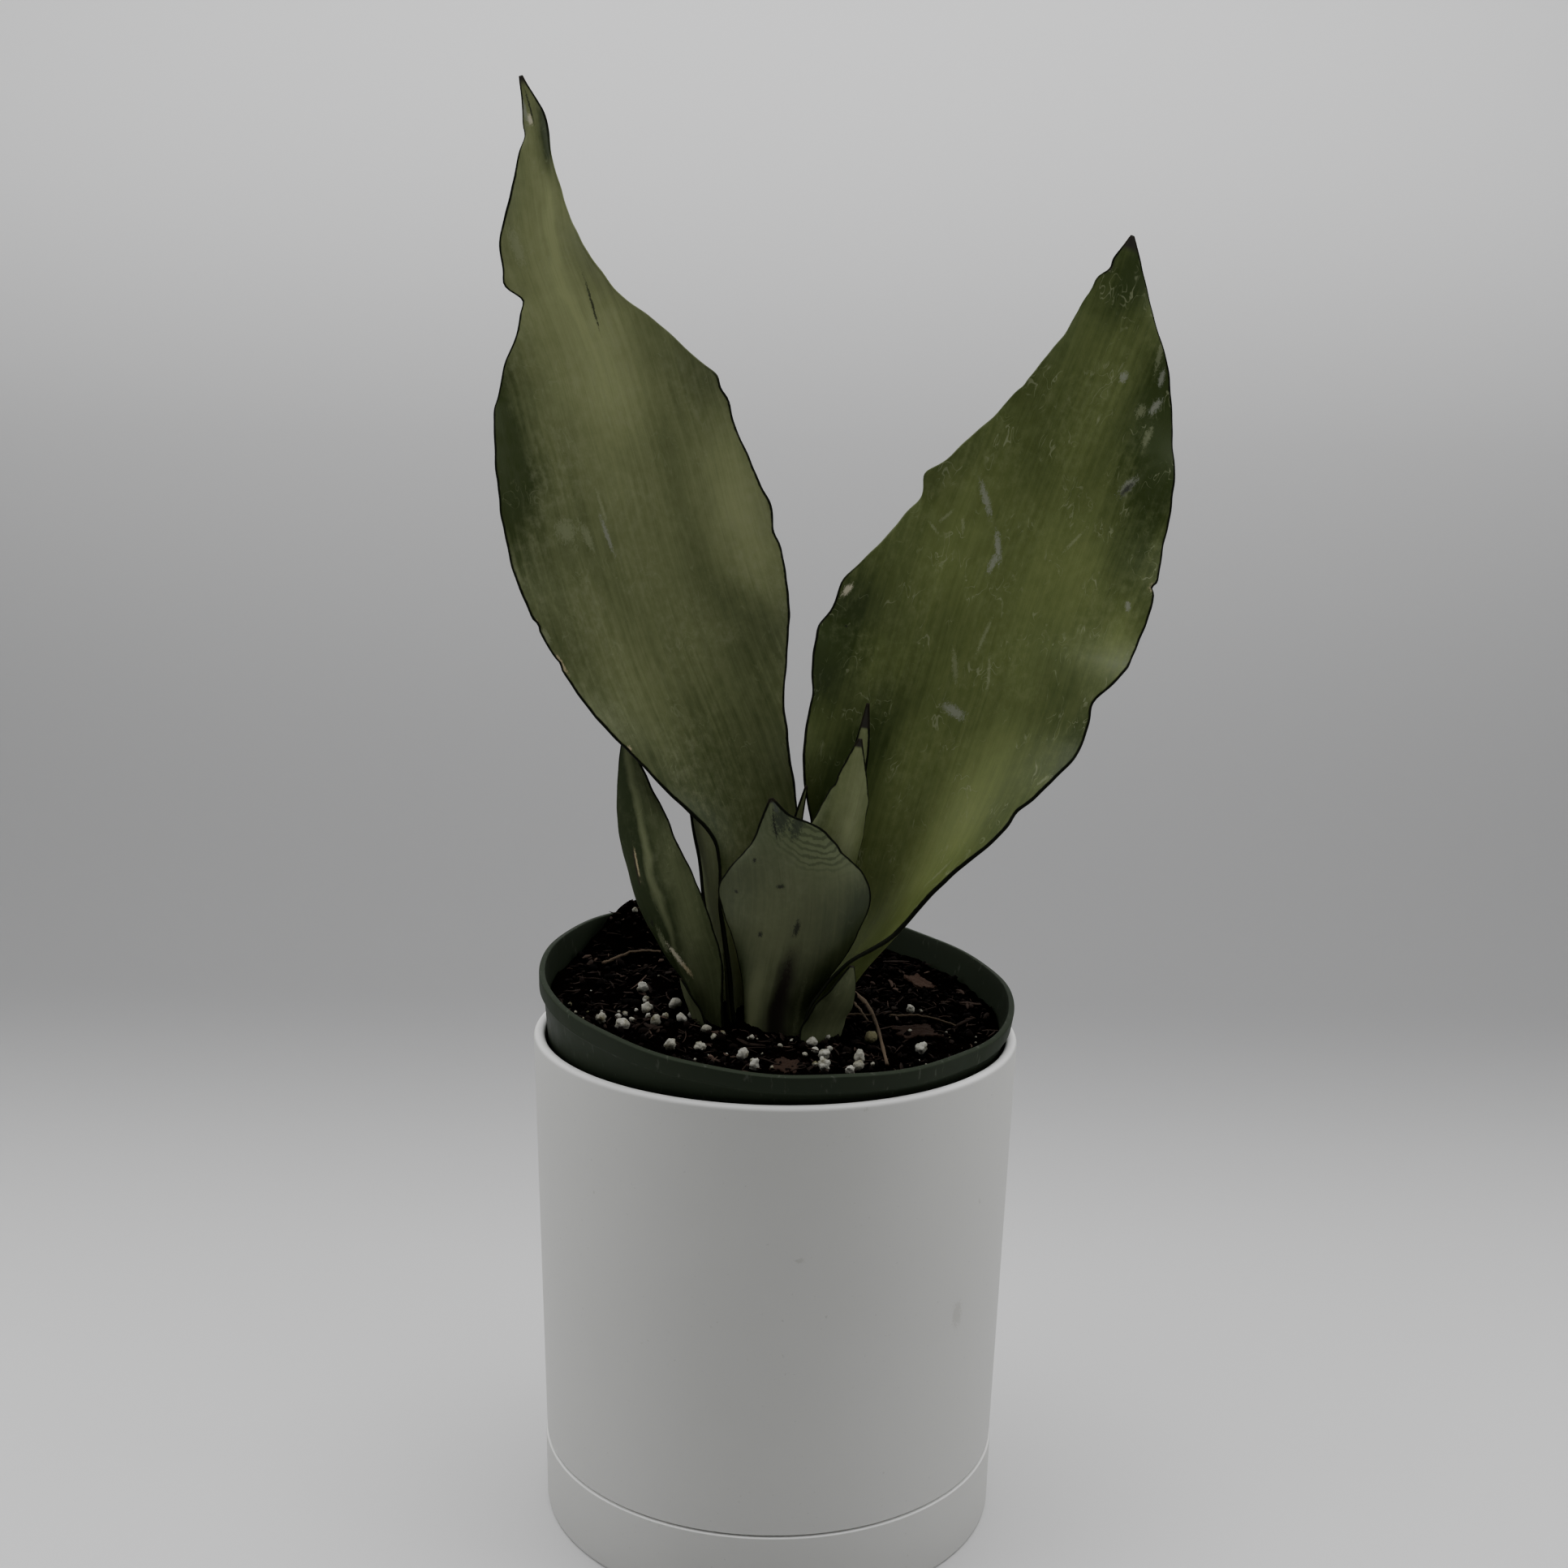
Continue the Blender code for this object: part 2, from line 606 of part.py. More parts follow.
def build_grains(seat):
    """Perlite grains on the soil, each a slightly different lump."""
    for i, place in enumerate(GRAINS):
        x, y = soil_place(*place)
        width = GRAIN_SIZE * (1 + 0.18 * math.sin(2.3 * i))
        depth = GRAIN_SIZE * (1 + 0.15 * math.sin(4.1 * i + 1))
        height = GRAIN_SIZE * 0.85
        mesh = bpy.data.meshes.new(f"perlite_{i + 1:02d}")
        shape = bmesh.new()
        bmesh.ops.create_icosphere(shape, subdivisions=2, radius=0.5)
        shape.to_mesh(mesh)
        shape.free()
        grain = add_object(mesh.name, mesh, ("perlite", (0.55, 0.54, 0.50), 0.9), seat)
        rest = resting_height(x, y, max(width, depth) / 2)
        grain.location = (x, y, rest + height / 2)
        grain.rotation_euler = (0, 0, 1.7 * i)
        grain.scale = (width, depth, height)


def build_chips(seat):
    """Flat bark chips on the soil."""
    for i, (place, (length, width), turn) in enumerate(CHIPS):
        x, y = soil_place(*place)
        name = f"bark_chip_{i + 1}"
        mesh = bpy.data.meshes.new(name)
        shape = bmesh.new()
        bmesh.ops.create_cube(shape, size=1)
        bmesh.ops.scale(shape, vec=(length, width, CHIP_THICKNESS), verts=shape.verts)
        bmesh.ops.bevel(
            shape, geom=shape.edges[:], offset=CHIP_THICKNESS / 4, segments=1, affect="EDGES"
        )
        shape.to_mesh(mesh)
        shape.free()
        chip = add_object(name, mesh, ("bark", (0.06, 0.03, 0.018), 0.85), seat)
        rest = resting_height(x, y, math.hypot(length, width) / 2)
        chip.location = (x, y, rest + CHIP_THICKNESS / 2)
        chip.rotation_euler = (0, 0, math.radians(turn))


def build_twig(seat):
    """A thin dry twig that lies across the soil."""
    path = bpy.data.curves.new("twig", "CURVE")
    path.dimensions = "3D"
    path.bevel_depth = TWIG_RADIUS
    path.bevel_resolution = 2
    path.use_fill_caps = True
    knots = np.arange(len(TWIG), dtype=float)
    line = through(
        knots, np.array([soil_place(*place) for place in TWIG]), np.linspace(0, knots[-1], 16)
    )
    spline = path.splines.new("POLY")
    spline.points.add(len(line) - 1)
    for point, (x, y) in zip(spline.points, line):
        point.co = (x, y, resting_height(x, y, 3 * TWIG_RADIUS) + TWIG_RADIUS, 1)
    twig = bpy.data.objects.new("twig", path)
    bpy.context.scene.collection.objects.link(twig)
    path.materials.append(material("dry_stem", (0.16, 0.11, 0.06), 0.85))
    twig.parent = seat


def main():
    for old in list(bpy.data.objects):
        bpy.data.objects.remove(old)
    seat = bpy.data.objects.new("nursery_seat", None)
    bpy.context.scene.collection.objects.link(seat)
    seat.location = nursery_centre
    seat.rotation_euler = (NURSERY_TILT_BACK, NURSERY_TILT_LEFT, 0)
    build_saucer()
    build_cover_pot()
    build_nursery_pot(seat)
    build_soil(seat)
    build_rhizome()
    for name, (share, grid, stations) in LEAVES.items():
        build_leaf(name, LEAF_THICKNESS * share, grid, stations)
    build_grains(seat)
    build_chips(seat)
    build_twig(seat)


if __name__ == "__main__":
    main()
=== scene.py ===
"""The looks of the potted snake plant: fine leaves, soil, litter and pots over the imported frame."""

import math

import bmesh
import bpy
import numpy as np
from mathutils import Euler, Matrix, Vector, noise


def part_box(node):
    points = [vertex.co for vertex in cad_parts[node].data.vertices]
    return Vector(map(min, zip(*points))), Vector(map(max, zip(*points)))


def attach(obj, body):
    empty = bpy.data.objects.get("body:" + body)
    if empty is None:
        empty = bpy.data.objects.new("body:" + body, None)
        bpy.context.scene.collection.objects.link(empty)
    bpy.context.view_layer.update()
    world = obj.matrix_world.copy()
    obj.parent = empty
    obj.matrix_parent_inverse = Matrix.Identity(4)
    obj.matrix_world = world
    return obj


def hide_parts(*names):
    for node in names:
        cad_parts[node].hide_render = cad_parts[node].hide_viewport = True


MM = 0.001

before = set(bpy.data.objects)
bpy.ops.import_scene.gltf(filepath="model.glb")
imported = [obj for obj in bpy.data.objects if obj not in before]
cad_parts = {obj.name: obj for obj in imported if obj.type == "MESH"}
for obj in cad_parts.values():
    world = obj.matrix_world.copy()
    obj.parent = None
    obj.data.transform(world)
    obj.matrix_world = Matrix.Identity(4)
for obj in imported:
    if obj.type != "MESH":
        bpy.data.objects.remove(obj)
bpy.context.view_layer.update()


# -------- shader building


class Look:
    """A node material built up from sockets."""

    def __init__(self, name, roughness=0.6, specular=0.5):
        self.material = bpy.data.materials.new(name)
        self.material.use_nodes = True
        self.tree = self.material.node_tree
        self.shader = self.tree.nodes["Principled BSDF"]
        self.shader.inputs["Roughness"].default_value = roughness
        self.shader.inputs["Specular IOR Level"].default_value = specular

    def put(self, socket, value):
        """Set an input from a constant, or link it from a socket."""
        if isinstance(value, bpy.types.NodeSocket):
            self.tree.links.new(value, socket)
        elif isinstance(value, tuple) and len(value) == 3 and socket.type == "RGBA":
            socket.default_value = (*value, 1)
        else:
            socket.default_value = value

    def add(self, kind, output=0, settings=None, **inputs):
        """A node, its settings and its inputs by name or as _number; gives one of its outputs."""
        made = self.tree.nodes.new("ShaderNode" + kind)
        for key, value in (settings or {}).items():
            setattr(made, key, value)
        for key, value in inputs.items():
            self.put(made.inputs[int(key[1:]) if key[1:].isdigit() else key], value)
        return made.outputs[output]

    def stored(self, name):
        """What the mesh keeps at each vertex, such as how far across and up a leaf it is."""
        return self.add("Attribute", "Vector", {"attribute_name": name})

    def object_place(self):
        return self.add("TexCoord", "Object")

    def axis(self, vector, letter):
        return self.add("SeparateXYZ", letter, Vector=vector)

    def vector(self, operation, a, b=(0, 0, 0), output=0):
        return self.add("VectorMath", output, {"operation": operation}, _0=a, _1=b)

    def stretch(self, vector, factors):
        return self.vector("MULTIPLY", vector, factors)

    def reach(self, vector, factors):
        """The vector's length after a stretch."""
        return self.vector("LENGTH", self.stretch(vector, factors), output="Value")

    def math(self, operation, a, b=0, clamp=False):
        return self.add("Math", 0, {"operation": operation, "use_clamp": clamp}, _0=a, _1=b)

    def plus(self, a, b, clamp=False):
        return self.math("ADD", a, b, clamp)

    def minus(self, a, b):
        return self.math("SUBTRACT", a, b)

    def times(self, a, b):
        return self.math("MULTIPLY", a, b)

    def grain(self, vector, scale, detail=3, rough=0.55, warp=0):
        """Noise around a half, with one scale or a scale for each axis."""
        if isinstance(scale, tuple):
            vector, scale = self.stretch(vector, scale), 1
        return self.add(
            "TexNoise", "Fac", Vector=vector, Scale=scale, Detail=detail, Roughness=rough,
            Distortion=warp,
        )  # fmt: skip

    def step(self, value, low, high, out_low=0, out_high=1):
        """A smooth step of the value from low to high."""
        return self.add(
            "MapRange", 0, {"interpolation_type": "SMOOTHSTEP"}, _0=value, _1=low, _2=high,
            _3=out_low, _4=out_high,
        )  # fmt: skip

    def mix(self, share, a, b):
        """Colour a, with a share of colour b."""
        return self.add("Mix", 2, {"data_type": "RGBA"}, _0=share, _6=a, _7=b)

    def bump(self, height, depth, strength=1):
        """Bump the surface by a height socket of zero to one and a depth in metres."""
        normal = self.shader.inputs["Normal"]
        below = {"Normal": normal.links[0].from_socket} if normal.is_linked else {}
        made = self.add("Bump", Strength=strength, Distance=depth, Height=height, **below)
        self.tree.links.new(made, normal)

    def finish(self, color, roughness=None):
        self.put(self.shader.inputs["Base Color"], color)
        if roughness is not None:
            self.put(self.shader.inputs["Roughness"], roughness)
        return self.material


# -------- mesh building


def link(name, data):
    """A scene object that shows the data."""
    made = bpy.data.objects.new(name, data)
    bpy.context.scene.collection.objects.link(made)
    return made


def solid(name, points, faces, material):
    """A smooth mesh object from points in metres in the row frame."""
    mesh = bpy.data.meshes.new(name)
    mesh.from_pydata(np.asarray(points).reshape(-1, 3).tolist(), [], faces)
    mesh.materials.append(material)
    mesh.shade_smooth()
    return link(name, mesh)


def make(name, points, faces, material, replaced=()):
    """A piece on the part's one body, in place of the CAD nodes that it replaces."""
    piece = solid(name, points, faces, material)
    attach(piece, "root")
    if replaced:
        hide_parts(*replaced)
    return piece


def store(piece, name, values):
    """Keep a vector for each vertex, for the shader to read."""
    kept = piece.data.attributes.new(name, "FLOAT_VECTOR", "POINT")
    kept.data.foreach_set("vector", np.asarray(values, np.float32).ravel())


def polar(radius, turn, *rest):
    """The point at a radius and a turn about Z, with its height if that is given."""
    return (radius * math.cos(turn), radius * math.sin(turn), *rest)


def rounded(corners, steps=8):
    """Points of an outline given as (radius, height, fillet radius) corners."""
    points = []
    for i, (r, z, fillet) in enumerate(corners):
        here = Vector((r, z))
        if not fillet:
            points.append(here)
            continue
        to_last = (Vector(corners[i - 1][:2]) - here).normalized()
        to_next = (Vector(corners[(i + 1) % len(corners)][:2]) - here).normalized()
        half = to_last.angle(to_next) / 2
        centre = here + (to_last + to_next).normalized() * fillet / math.sin(half)
        start = here + to_last * fillet / math.tan(half) - centre
        end = here + to_next * fillet / math.tan(half) - centre
        turn = math.atan2(start.cross(end), start.dot(end))
        first = math.atan2(start.y, start.x)
        for step in range(steps + 1):
            points.append(centre + fillet * Vector(polar(1, first + turn * step / steps)))
    return points


def turned(outline, segments, shape=None, ring=True):
    """Points and faces of an outline turned about Z, which runs down its outer side.
    shape changes a point's radius and height by its turn, and an outline that isn't a ring
    is closed at both ends."""
    points, faces = [], []
    count = len(outline)
    for i in range(segments):
        turn = 2 * math.pi * i / segments
        for r, z in outline:
            if shape:
                r, z = shape(turn, r, z)
            points.append(polar(r, turn, z))
    for i in range(segments):
        j = (i + 1) % segments
        for k in range(count if ring else count - 1):
            n = (k + 1) % count
            faces.append((i * count + k, i * count + n, j * count + n, j * count + k))
    if not ring:
        for end, order in ((0, 1), (count - 1, -1)):
            faces.append([i * count + end for i in range(segments)][::order])
    return points, faces


def skin(rings, sides, flip=False):
    """Faces between rings of points that follow each other, and over both ends."""
    faces = []
    for i in range(rings - 1):
        here, ahead = i * sides, (i + 1) * sides
        for k in range(sides):
            n = (k + 1) % sides
            faces.append([here + k, ahead + k, ahead + n, here + n])
    ends = [list(range(sides)), [(rings - 1) * sides + k for k in reversed(range(sides))]]
    if flip:
        faces = [face[:1] + face[:0:-1] for face in faces]
        ends = [end[::-1] for end in ends]
    return faces + ends


def rng(seed):
    return np.random.default_rng(seed)


def ripple(*place):
    """Smooth noise at a place, about -1 to 1."""
    return noise.noise(Vector(place))


def lumps(point, scale):
    """Fractal noise at a point in millimetres, about -1 to 1."""
    return noise.fractal(Vector(point) / scale, 1, 2, 4, noise_basis="PERLIN_ORIGINAL")


# -------- the frame's sizes


pot_low, pot_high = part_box("cover_pot")
saucer_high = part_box("saucer")[1]
RIM_RADIUS = 59 * MM
SEAM_RADIUS = 56.3 * MM
SAUCER_BASE_RADIUS = 55.9 * MM
WALL = 2.7 * MM
tilt = Euler((math.radians(5.1), math.radians(3.95), 0)).to_matrix()
LINER_CENTRE = Vector((0.27, -0.36, 133.6)) * MM
LINER_RADIUS = 57.4 * MM
LINER_DEPTH = 96.1 * MM
LINER_TAPER = 0.15
LINER_WALL = 1.2 * MM
DRAINS = 6
DRAIN_RING = 31.8 * MM
DRAIN_RADIUS = 4 * MM
SOIL_DEPTH = 7 * MM  # from the rim's plane down to the soil
SOIL_EDGE = LINER_RADIUS - LINER_TAPER * SOIL_DEPTH - 1.5 * MM
SOIL_BOTTOM = -94.6 * MM
CROWN_HEIGHT = 125.9 * MM
# Heaps and hollows in the soil: rise, shares of its radius to the right and back, and spread.
HEAPS = (
    (10.5 * MM, -0.66, 0.66, 13 * MM),
    (3.5 * MM, -0.42, 0, 13 * MM),
    (-1.5 * MM, 0.55, 0.35, 16 * MM),
)


def seat(point):
    """A point in the nursery pot's frame, in the row frame."""
    return tilt @ Vector(point) + LINER_CENTRE


def soil_top(x, y):
    """The soil's height under the rim's plane, in the nursery pot's frame."""
    height = -SOIL_DEPTH
    for rise, east, north, spread in HEAPS:
        away = math.hypot(x - east * SOIL_EDGE, y - north * SOIL_EDGE)
        height += rise * math.exp(-((away / spread) ** 2))
    return height


def ground(x, y):
    """The soil's height with its fine lumps."""
    p = (x / MM, y / MM, 3.1)
    fine = 0.9 * lumps(p, 9) + 0.75 * abs(lumps(p, 3.4)) + 0.25 * lumps(p, 1.2)
    return soil_top(x, y) + fine * MM


# -------- camera, light and stage


CAMERA_PLACE = (0.97 * MM, -460.9 * MM, 265.4 * MM)
CAMERA_PITCH = 10.28  # degrees down
CAMERA_ROLL = 1.07
FOCAL_LENGTH = 44.72
# The paper sweep: where it starts and bends up, its bend's radius, its top and half its width.
SWEEP_START, SWEEP_BEND, SWEEP_RADIUS, SWEEP_TOP, SWEEP_HALF = -1.6, 0.44, 0.26, 1.8, 2
SWEEP_STEPS = 16
# Soft panels: place, the point they face, size and power.
LAMPS = {
    "top_panel": ((0, 0.02, 0.95), (0, 0.02, 0), (0.9, 0.7), 8),
    "wall_panel": ((0, 0.3, 1.05), (0, 0.7, 0.4), (1.4, 0.2), 1.6),
    "left_panel": ((-0.75, -0.05, 0.45), (0, 0, 0.18), (0.7, 0.8), 3),
    "right_panel": ((0.75, -0.05, 0.45), (0, 0, 0.18), (0.7, 0.8), 3),
}


def aim_camera():
    """An eye-level view a little from above, with the lens and the slight roll of a phone."""
    lens = bpy.data.cameras.new("camera")
    lens.lens = FOCAL_LENGTH
    lens.sensor_width = 36
    lens.clip_start = 0.01
    camera = link("camera", lens)
    pitch = Matrix.Rotation(math.radians(90 - CAMERA_PITCH), 4, "X")
    roll = Matrix.Rotation(math.radians(CAMERA_ROLL), 4, "Z")
    camera.matrix_world = Matrix.Translation(CAMERA_PLACE) @ pitch @ roll
    bpy.context.scene.camera = camera


def paper_look():
    """Pale paper, with painted shade in a wide band behind the object and painted light up the wall.
    """
    look = Look("pale_paper", 0.9, 0.1)
    place = look.object_place()
    height = look.axis(place, "Z")
    paper = look.mix(look.grain(place, 2, 2), (0.7, 0.7, 0.702), (0.73, 0.73, 0.732))
    # Painted light: the paper is painted lighter up the wall, where the lamps light it more.
    paper = look.mix(look.step(height, 0.1, 0.45), paper, (0.9, 0.9, 0.902))
    # Painted shade: a wide darker band behind the object, strongest low down and fading out up the
    # wall.
    painted_shade = look.step(look.axis(place, "Y"), -0.06, 0.44)
    painted_shade = look.times(painted_shade, look.step(height, 0.5, 0))
    return look.finish(look.mix(painted_shade, paper, (0.3, 0.3, 0.302)))


def set_stage():
    """A pale seamless sweep in a light tent: soft panels above and at both sides."""
    profile = [(SWEEP_START, 0), (SWEEP_BEND, 0)]
    for step in range(1, SWEEP_STEPS + 1):
        turn = math.pi / 2 * step / SWEEP_STEPS
        out, up = SWEEP_RADIUS * math.sin(turn), SWEEP_RADIUS - SWEEP_RADIUS * math.cos(turn)
        profile.append((SWEEP_BEND + out, up))
    profile.append((SWEEP_BEND + SWEEP_RADIUS, SWEEP_TOP))
    points = [(x, y, z) for y, z in profile for x in (-SWEEP_HALF, SWEEP_HALF)]
    faces = [(2 * i, 2 * i + 1, 2 * i + 3, 2 * i + 2) for i in range(len(profile) - 1)]
    solid("sweep", points, faces, paper_look())
    world = bpy.data.worlds.new("room")
    world.use_nodes = True
    sky = world.node_tree.nodes["Background"].inputs
    sky["Color"].default_value = (0.8, 0.81, 0.83, 1)
    sky["Strength"].default_value = 0.1
    bpy.context.scene.world = world
    for name, (place, target, size, power) in LAMPS.items():
        lamp = bpy.data.lights.new(name, "AREA")
        lamp.shape = "RECTANGLE"
        lamp.size, lamp.size_y = size
        lamp.energy = power
        made = link(name, lamp)
        made.location = place
        facing = Vector(target) - Vector(place)
        made.rotation_euler = facing.to_track_quat("-Z", "Y").to_euler()


# -------- leaves


def through(knots, values, places):
    """A smooth curve through the values at the knots, read at the places."""
    slopes = np.gradient(values, knots, axis=0)
    low = np.clip(np.searchsorted(knots, places, side="right") - 1, 0, len(knots) - 2)
    span = (knots[low + 1] - knots[low])[:, None]
    t = (places - knots[low])[:, None] / span
    return (
        (1 + 2 * t) * (1 - t) ** 2 * values[low]
        + t * (1 - t) ** 2 * span * slopes[low]
        + t**2 * (3 - 2 * t) * values[low + 1]
        + t**2 * (t - 1) * span * slopes[low + 1]
    )


def unit(vectors):
    return vectors / np.maximum(np.linalg.norm(vectors, axis=-1, keepdims=True), 1e-9)


# Stations up each leaf's midrib, in millimetres and degrees, as in the CAD model: x, y and height
# above the soil, half-widths to the left and right as seen from the hollow side, the heading of
# the hollow side and the radius that the blade curls to.
LEAVES = {
    "leaf_tall_left": [
        (-10.4, -7.5, -6, 9, 9.5, -8, 11.5), (-10.4, -7, 8, 8.5, 10.5, -20, 12),
        (-9.5, -5, 25, 6.5, 13.5, -48, 16), (-9.5, -2, 42, 7.5, 15, -62, 24),
        (-16, 2, 62, 16.5, 19, -75, 40), (-26, 6, 86, 26, 30, -82, 70),
        (-34, 9, 110, 31, 33, -86, 90), (-40, 12, 132, 30, 29.5, -88, 90),
        (-43.5, 13.5, 143, 27.5, 28.5, -88, 80), (-46, 15, 152, 24.5, 22.5, -90, 70),
        (-52, 17, 168, 13, 11.5, -92, 40), (-57, 18.5, 181, 12, 8, -95, 22),
        (-60, 20.5, 198, 6, 4.5, -95, 12), (-62.5, 22, 213, 1.7, 2.3, -95, 8),
        (-64.5, 22.5, 221, 0.5, 0.5, -95, 8),
    ],
    "leaf_tall_right": [
        (12.5, -8, -6, 13, 16, 188, 11.5), (13.5, -8, 3, 14, 16, 188, 12),
        (19, -7, 12, 19, 14.5, 192, 14), (26, -5, 22, 24, 11, 205, 17),
        (31.5, -2, 36, 27, 15, 228, 26), (37, 1, 54, 34, 24.5, 245, 40),
        (42.5, 4, 72, 37, 30.5, 255, 70), (46, 5.5, 84, 39, 32, 258, 90),
        (48.5, 7, 94, 35.5, 35.5, 262, 100), (53, 9.5, 108, 28.5, 36.5, 264, 110),
        (58, 12, 122, 24, 34.5, 266, 120), (65.5, 15, 142, 14, 29.5, 268, 120),
        (73, 18, 160, 8, 20, 270, 90), (78.5, 20.5, 175, 5, 8.5, 270, 60),
        (82, 22, 187, 0.5, 0.5, 270, 40),
    ],
    "leaf_front_broad": [
        (0, -17.6, -6, 7.5, 8.5, 88, 9.5), (0, -17.6, 5, 8.5, 9, 88, 10),
        (1.5, -17.8, 14, 12.5, 12, 88, 16), (3, -18.2, 24, 17.5, 17, 88, 24),
        (3.5, -18.6, 33, 19.5, 19.5, 88, 28), (3, -18.8, 39, 14.5, 16.5, 88, 28),
        (1.5, -19, 46, 8.5, 10, 88, 24), (-0.5, -19, 51, 3.5, 4.5, 88, 20),
        (-2, -19, 56, 0.5, 0.5, 88, 20),
    ],
    "leaf_left_short": [
        (-16.9, -12.6, -6, 6.5, 6, 25, 10.5), (-17.2, -12.6, 3, 7, 7.5, 30, 10.5),
        (-23, -12, 20, 9, 10.5, 60, 12), (-28, -8.5, 34, 7.5, 11, 72, 13),
        (-31.5, -4.5, 45, 5.5, 9.5, 75, 13), (-35, 0, 56, 3.5, 5.5, 75, 13),
        (-38, 5, 66, 0.5, 0.5, 75, 13),
    ],
    "leaf_back_left": [
        (-13.8, -6.4, -6, 5.5, 5.5, -10, 15), (-13.8, -6.4, 4, 5.5, 5.5, -12, 15),
        (-15.5, -4.5, 20, 6, 6, -20, 15), (-17, -1, 36, 6, 6, -30, 16),
        (-20, 3, 52, 4.5, 4.5, -35, 16), (-23.5, 7, 66, 0.5, 0.5, -35, 16),
    ],
    "leaf_inner_front": [
        (4, -11, -6, 5.5, 5.5, 90, 5), (4.5, -11, 8, 6, 6, 90, 5.2), (8.5, -11, 26, 7, 7, 95, 6),
        (12.7, -11, 42, 8, 7.7, 95, 8.5), (15.8, -11, 54, 5.5, 5.2, 95, 8.5),
        (18.6, -11, 69, 0.5, 0.5, 95, 8),
    ],
    "leaf_inner_rear": [
        (6, -5, -6, 2.4, 2.4, 190, 2.6), (6.5, -5, 10, 2.4, 2.4, 190, 2.6),
        (12, -5.5, 34, 2.6, 2.6, 200, 3.5), (17.2, -6, 54, 3, 3, 230, 5),
        (19.5, -7.5, 68, 1.8, 1.6, 250, 5), (20.3, -8.4, 77, 0.4, 0.4, 250, 5),
    ],
    "leaf_sprout": [
        (-3, -7.5, -6, 1.6, 1.6, -60, 3), (-1.5, -7.5, 20, 2, 2, -60, 3),
        (2.8, -7.5, 42, 2, 2, -60, 4), (6.3, -7.5, 57, 0.4, 0.4, -60, 4),
    ],
    "sheath_right": [
        (10.6, -20.5, -6, 9, 6, 130, 15), (11.5, -20.8, 2, 9, 6, 130, 15),
        (15.2, -21.4, 10, 5.5, 4, 130, 15), (17.6, -21.4, 17, 0.8, 0.8, 130, 15),
    ],
    "sheath_left": [
        (-18.9, -14.6, -6, 5, 5, 25, 13.2), (-19.3, -14.8, 2, 5, 5, 25, 13.2),
        (-21, -15.4, 7, 3.2, 3.2, 25, 13.2), (-22.6, -15.6, 11.5, 0.6, 0.6, 25, 13.2),
    ],
}  # fmt: skip

# How each leaf is meshed and looks: rows, columns, thickness in millimetres, the height and the
# length in millimetres of its margins' waves, its greens, roughness and gloss, how strongly fine
# scrapes show, and the share of its height at which its dry tip starts.
FORMS = {
    "leaf_tall_left": (260, 56, 2.4, 0.7, 31, "olive", 0.46, 0.3, 0.2, 0.993),
    "leaf_tall_right": (260, 56, 2.4, 0.7, 27, "grass", 0.5, 0.28, 0.5, 0.985),
    "leaf_front_broad": (130, 48, 2.1, 0.4, 17, "grey", 0.5, 0.25, 0.08, 0.985),
    "leaf_left_short": (120, 40, 2.1, 0.4, 19, "shade", 0.66, 0.1, 0.2, 0.985),
    "leaf_back_left": (70, 20, 1.9, 0.2, 16, "fresh", 0.55, 0.15, 0.2, 0.985),
    "leaf_inner_front": (90, 28, 1.8, 0.2, 18, "fresh", 0.5, 0.25, 0.2, 0.975),
    "leaf_inner_rear": (90, 20, 1.4, 0.1, 15, "fresh", 0.5, 0.2, 0.2, 0.93),
    "leaf_sprout": (60, 16, 1.4, 0, 15, "fresh", 0.5, 0.2, 0.2, 0.985),
    "sheath_right": (50, 24, 1.5, 0.3, 7, "grey", 0.6, 0.2, 0.2, 0.985),
    "sheath_left": (40, 20, 1.4, 0.3, 6, "grey", 0.6, 0.2, 0.2, 0.985),
}
# Dents and bumps of the margins: a side (-1 left, 1 right), a place up the midrib, an amount and a
# spread.
DENTS = {
    "leaf_tall_left": (
        (-1, 199.5, 0.6, 5), (-1, 192.6, 1.2, 2), (-1, 188, -1.9, 2.2), (1, 158, 0.9, 3),
        (1, 153, -0.3, 2), (1, 148.7, 0.4, 2.5), (1, 227, 1.4, 6), (-1, 175, 1.8, 6),
        (-1, 224, -0.9, 2.2), (-1, 112, -0.6, 1), (-1, 102.4, -0.5, 1.2), (1, 118, -0.7, 3),
        (1, 124, 0.5, 4), (1, 76, -0.6, 6),
    ),
    "leaf_tall_right": (
        (-1, 137.6, 1.7, 2.6), (-1, 132, -0.9, 3), (-1, 109, 1, 3), (-1, 103, -0.5, 2.5),
        (-1, 199.5, -0.9, 1.8), (-1, 196, 0.3, 2), (-1, 165, -0.5, 1.5), (1, 130.4, -0.9, 1),
        (1, 105, 0.9, 5), (1, 97.5, -1.5, 2.8), (1, 85, 0.9, 5), (1, 68.2, -1.5, 3),
        (1, 59, 0.7, 5), (-1, 88, 0.5, 4), (-1, 80, -0.5, 3),
    ),
    "leaf_front_broad": ((-1, 47, -0.5, 1.2), (-1, 52, 0.5, 1.5), (-1, 43, 0.4, 1.5)),
    "leaf_left_short": ((1, 32, 0.5, 3), (1, 24, -0.4, 2)),
    "leaf_inner_front": ((1, 65, -0.6, 1.5), (-1, 62, 0.5, 2)),
}  # fmt: skip
LEAST_HALF = 0.25  # mm, at a leaf's tip


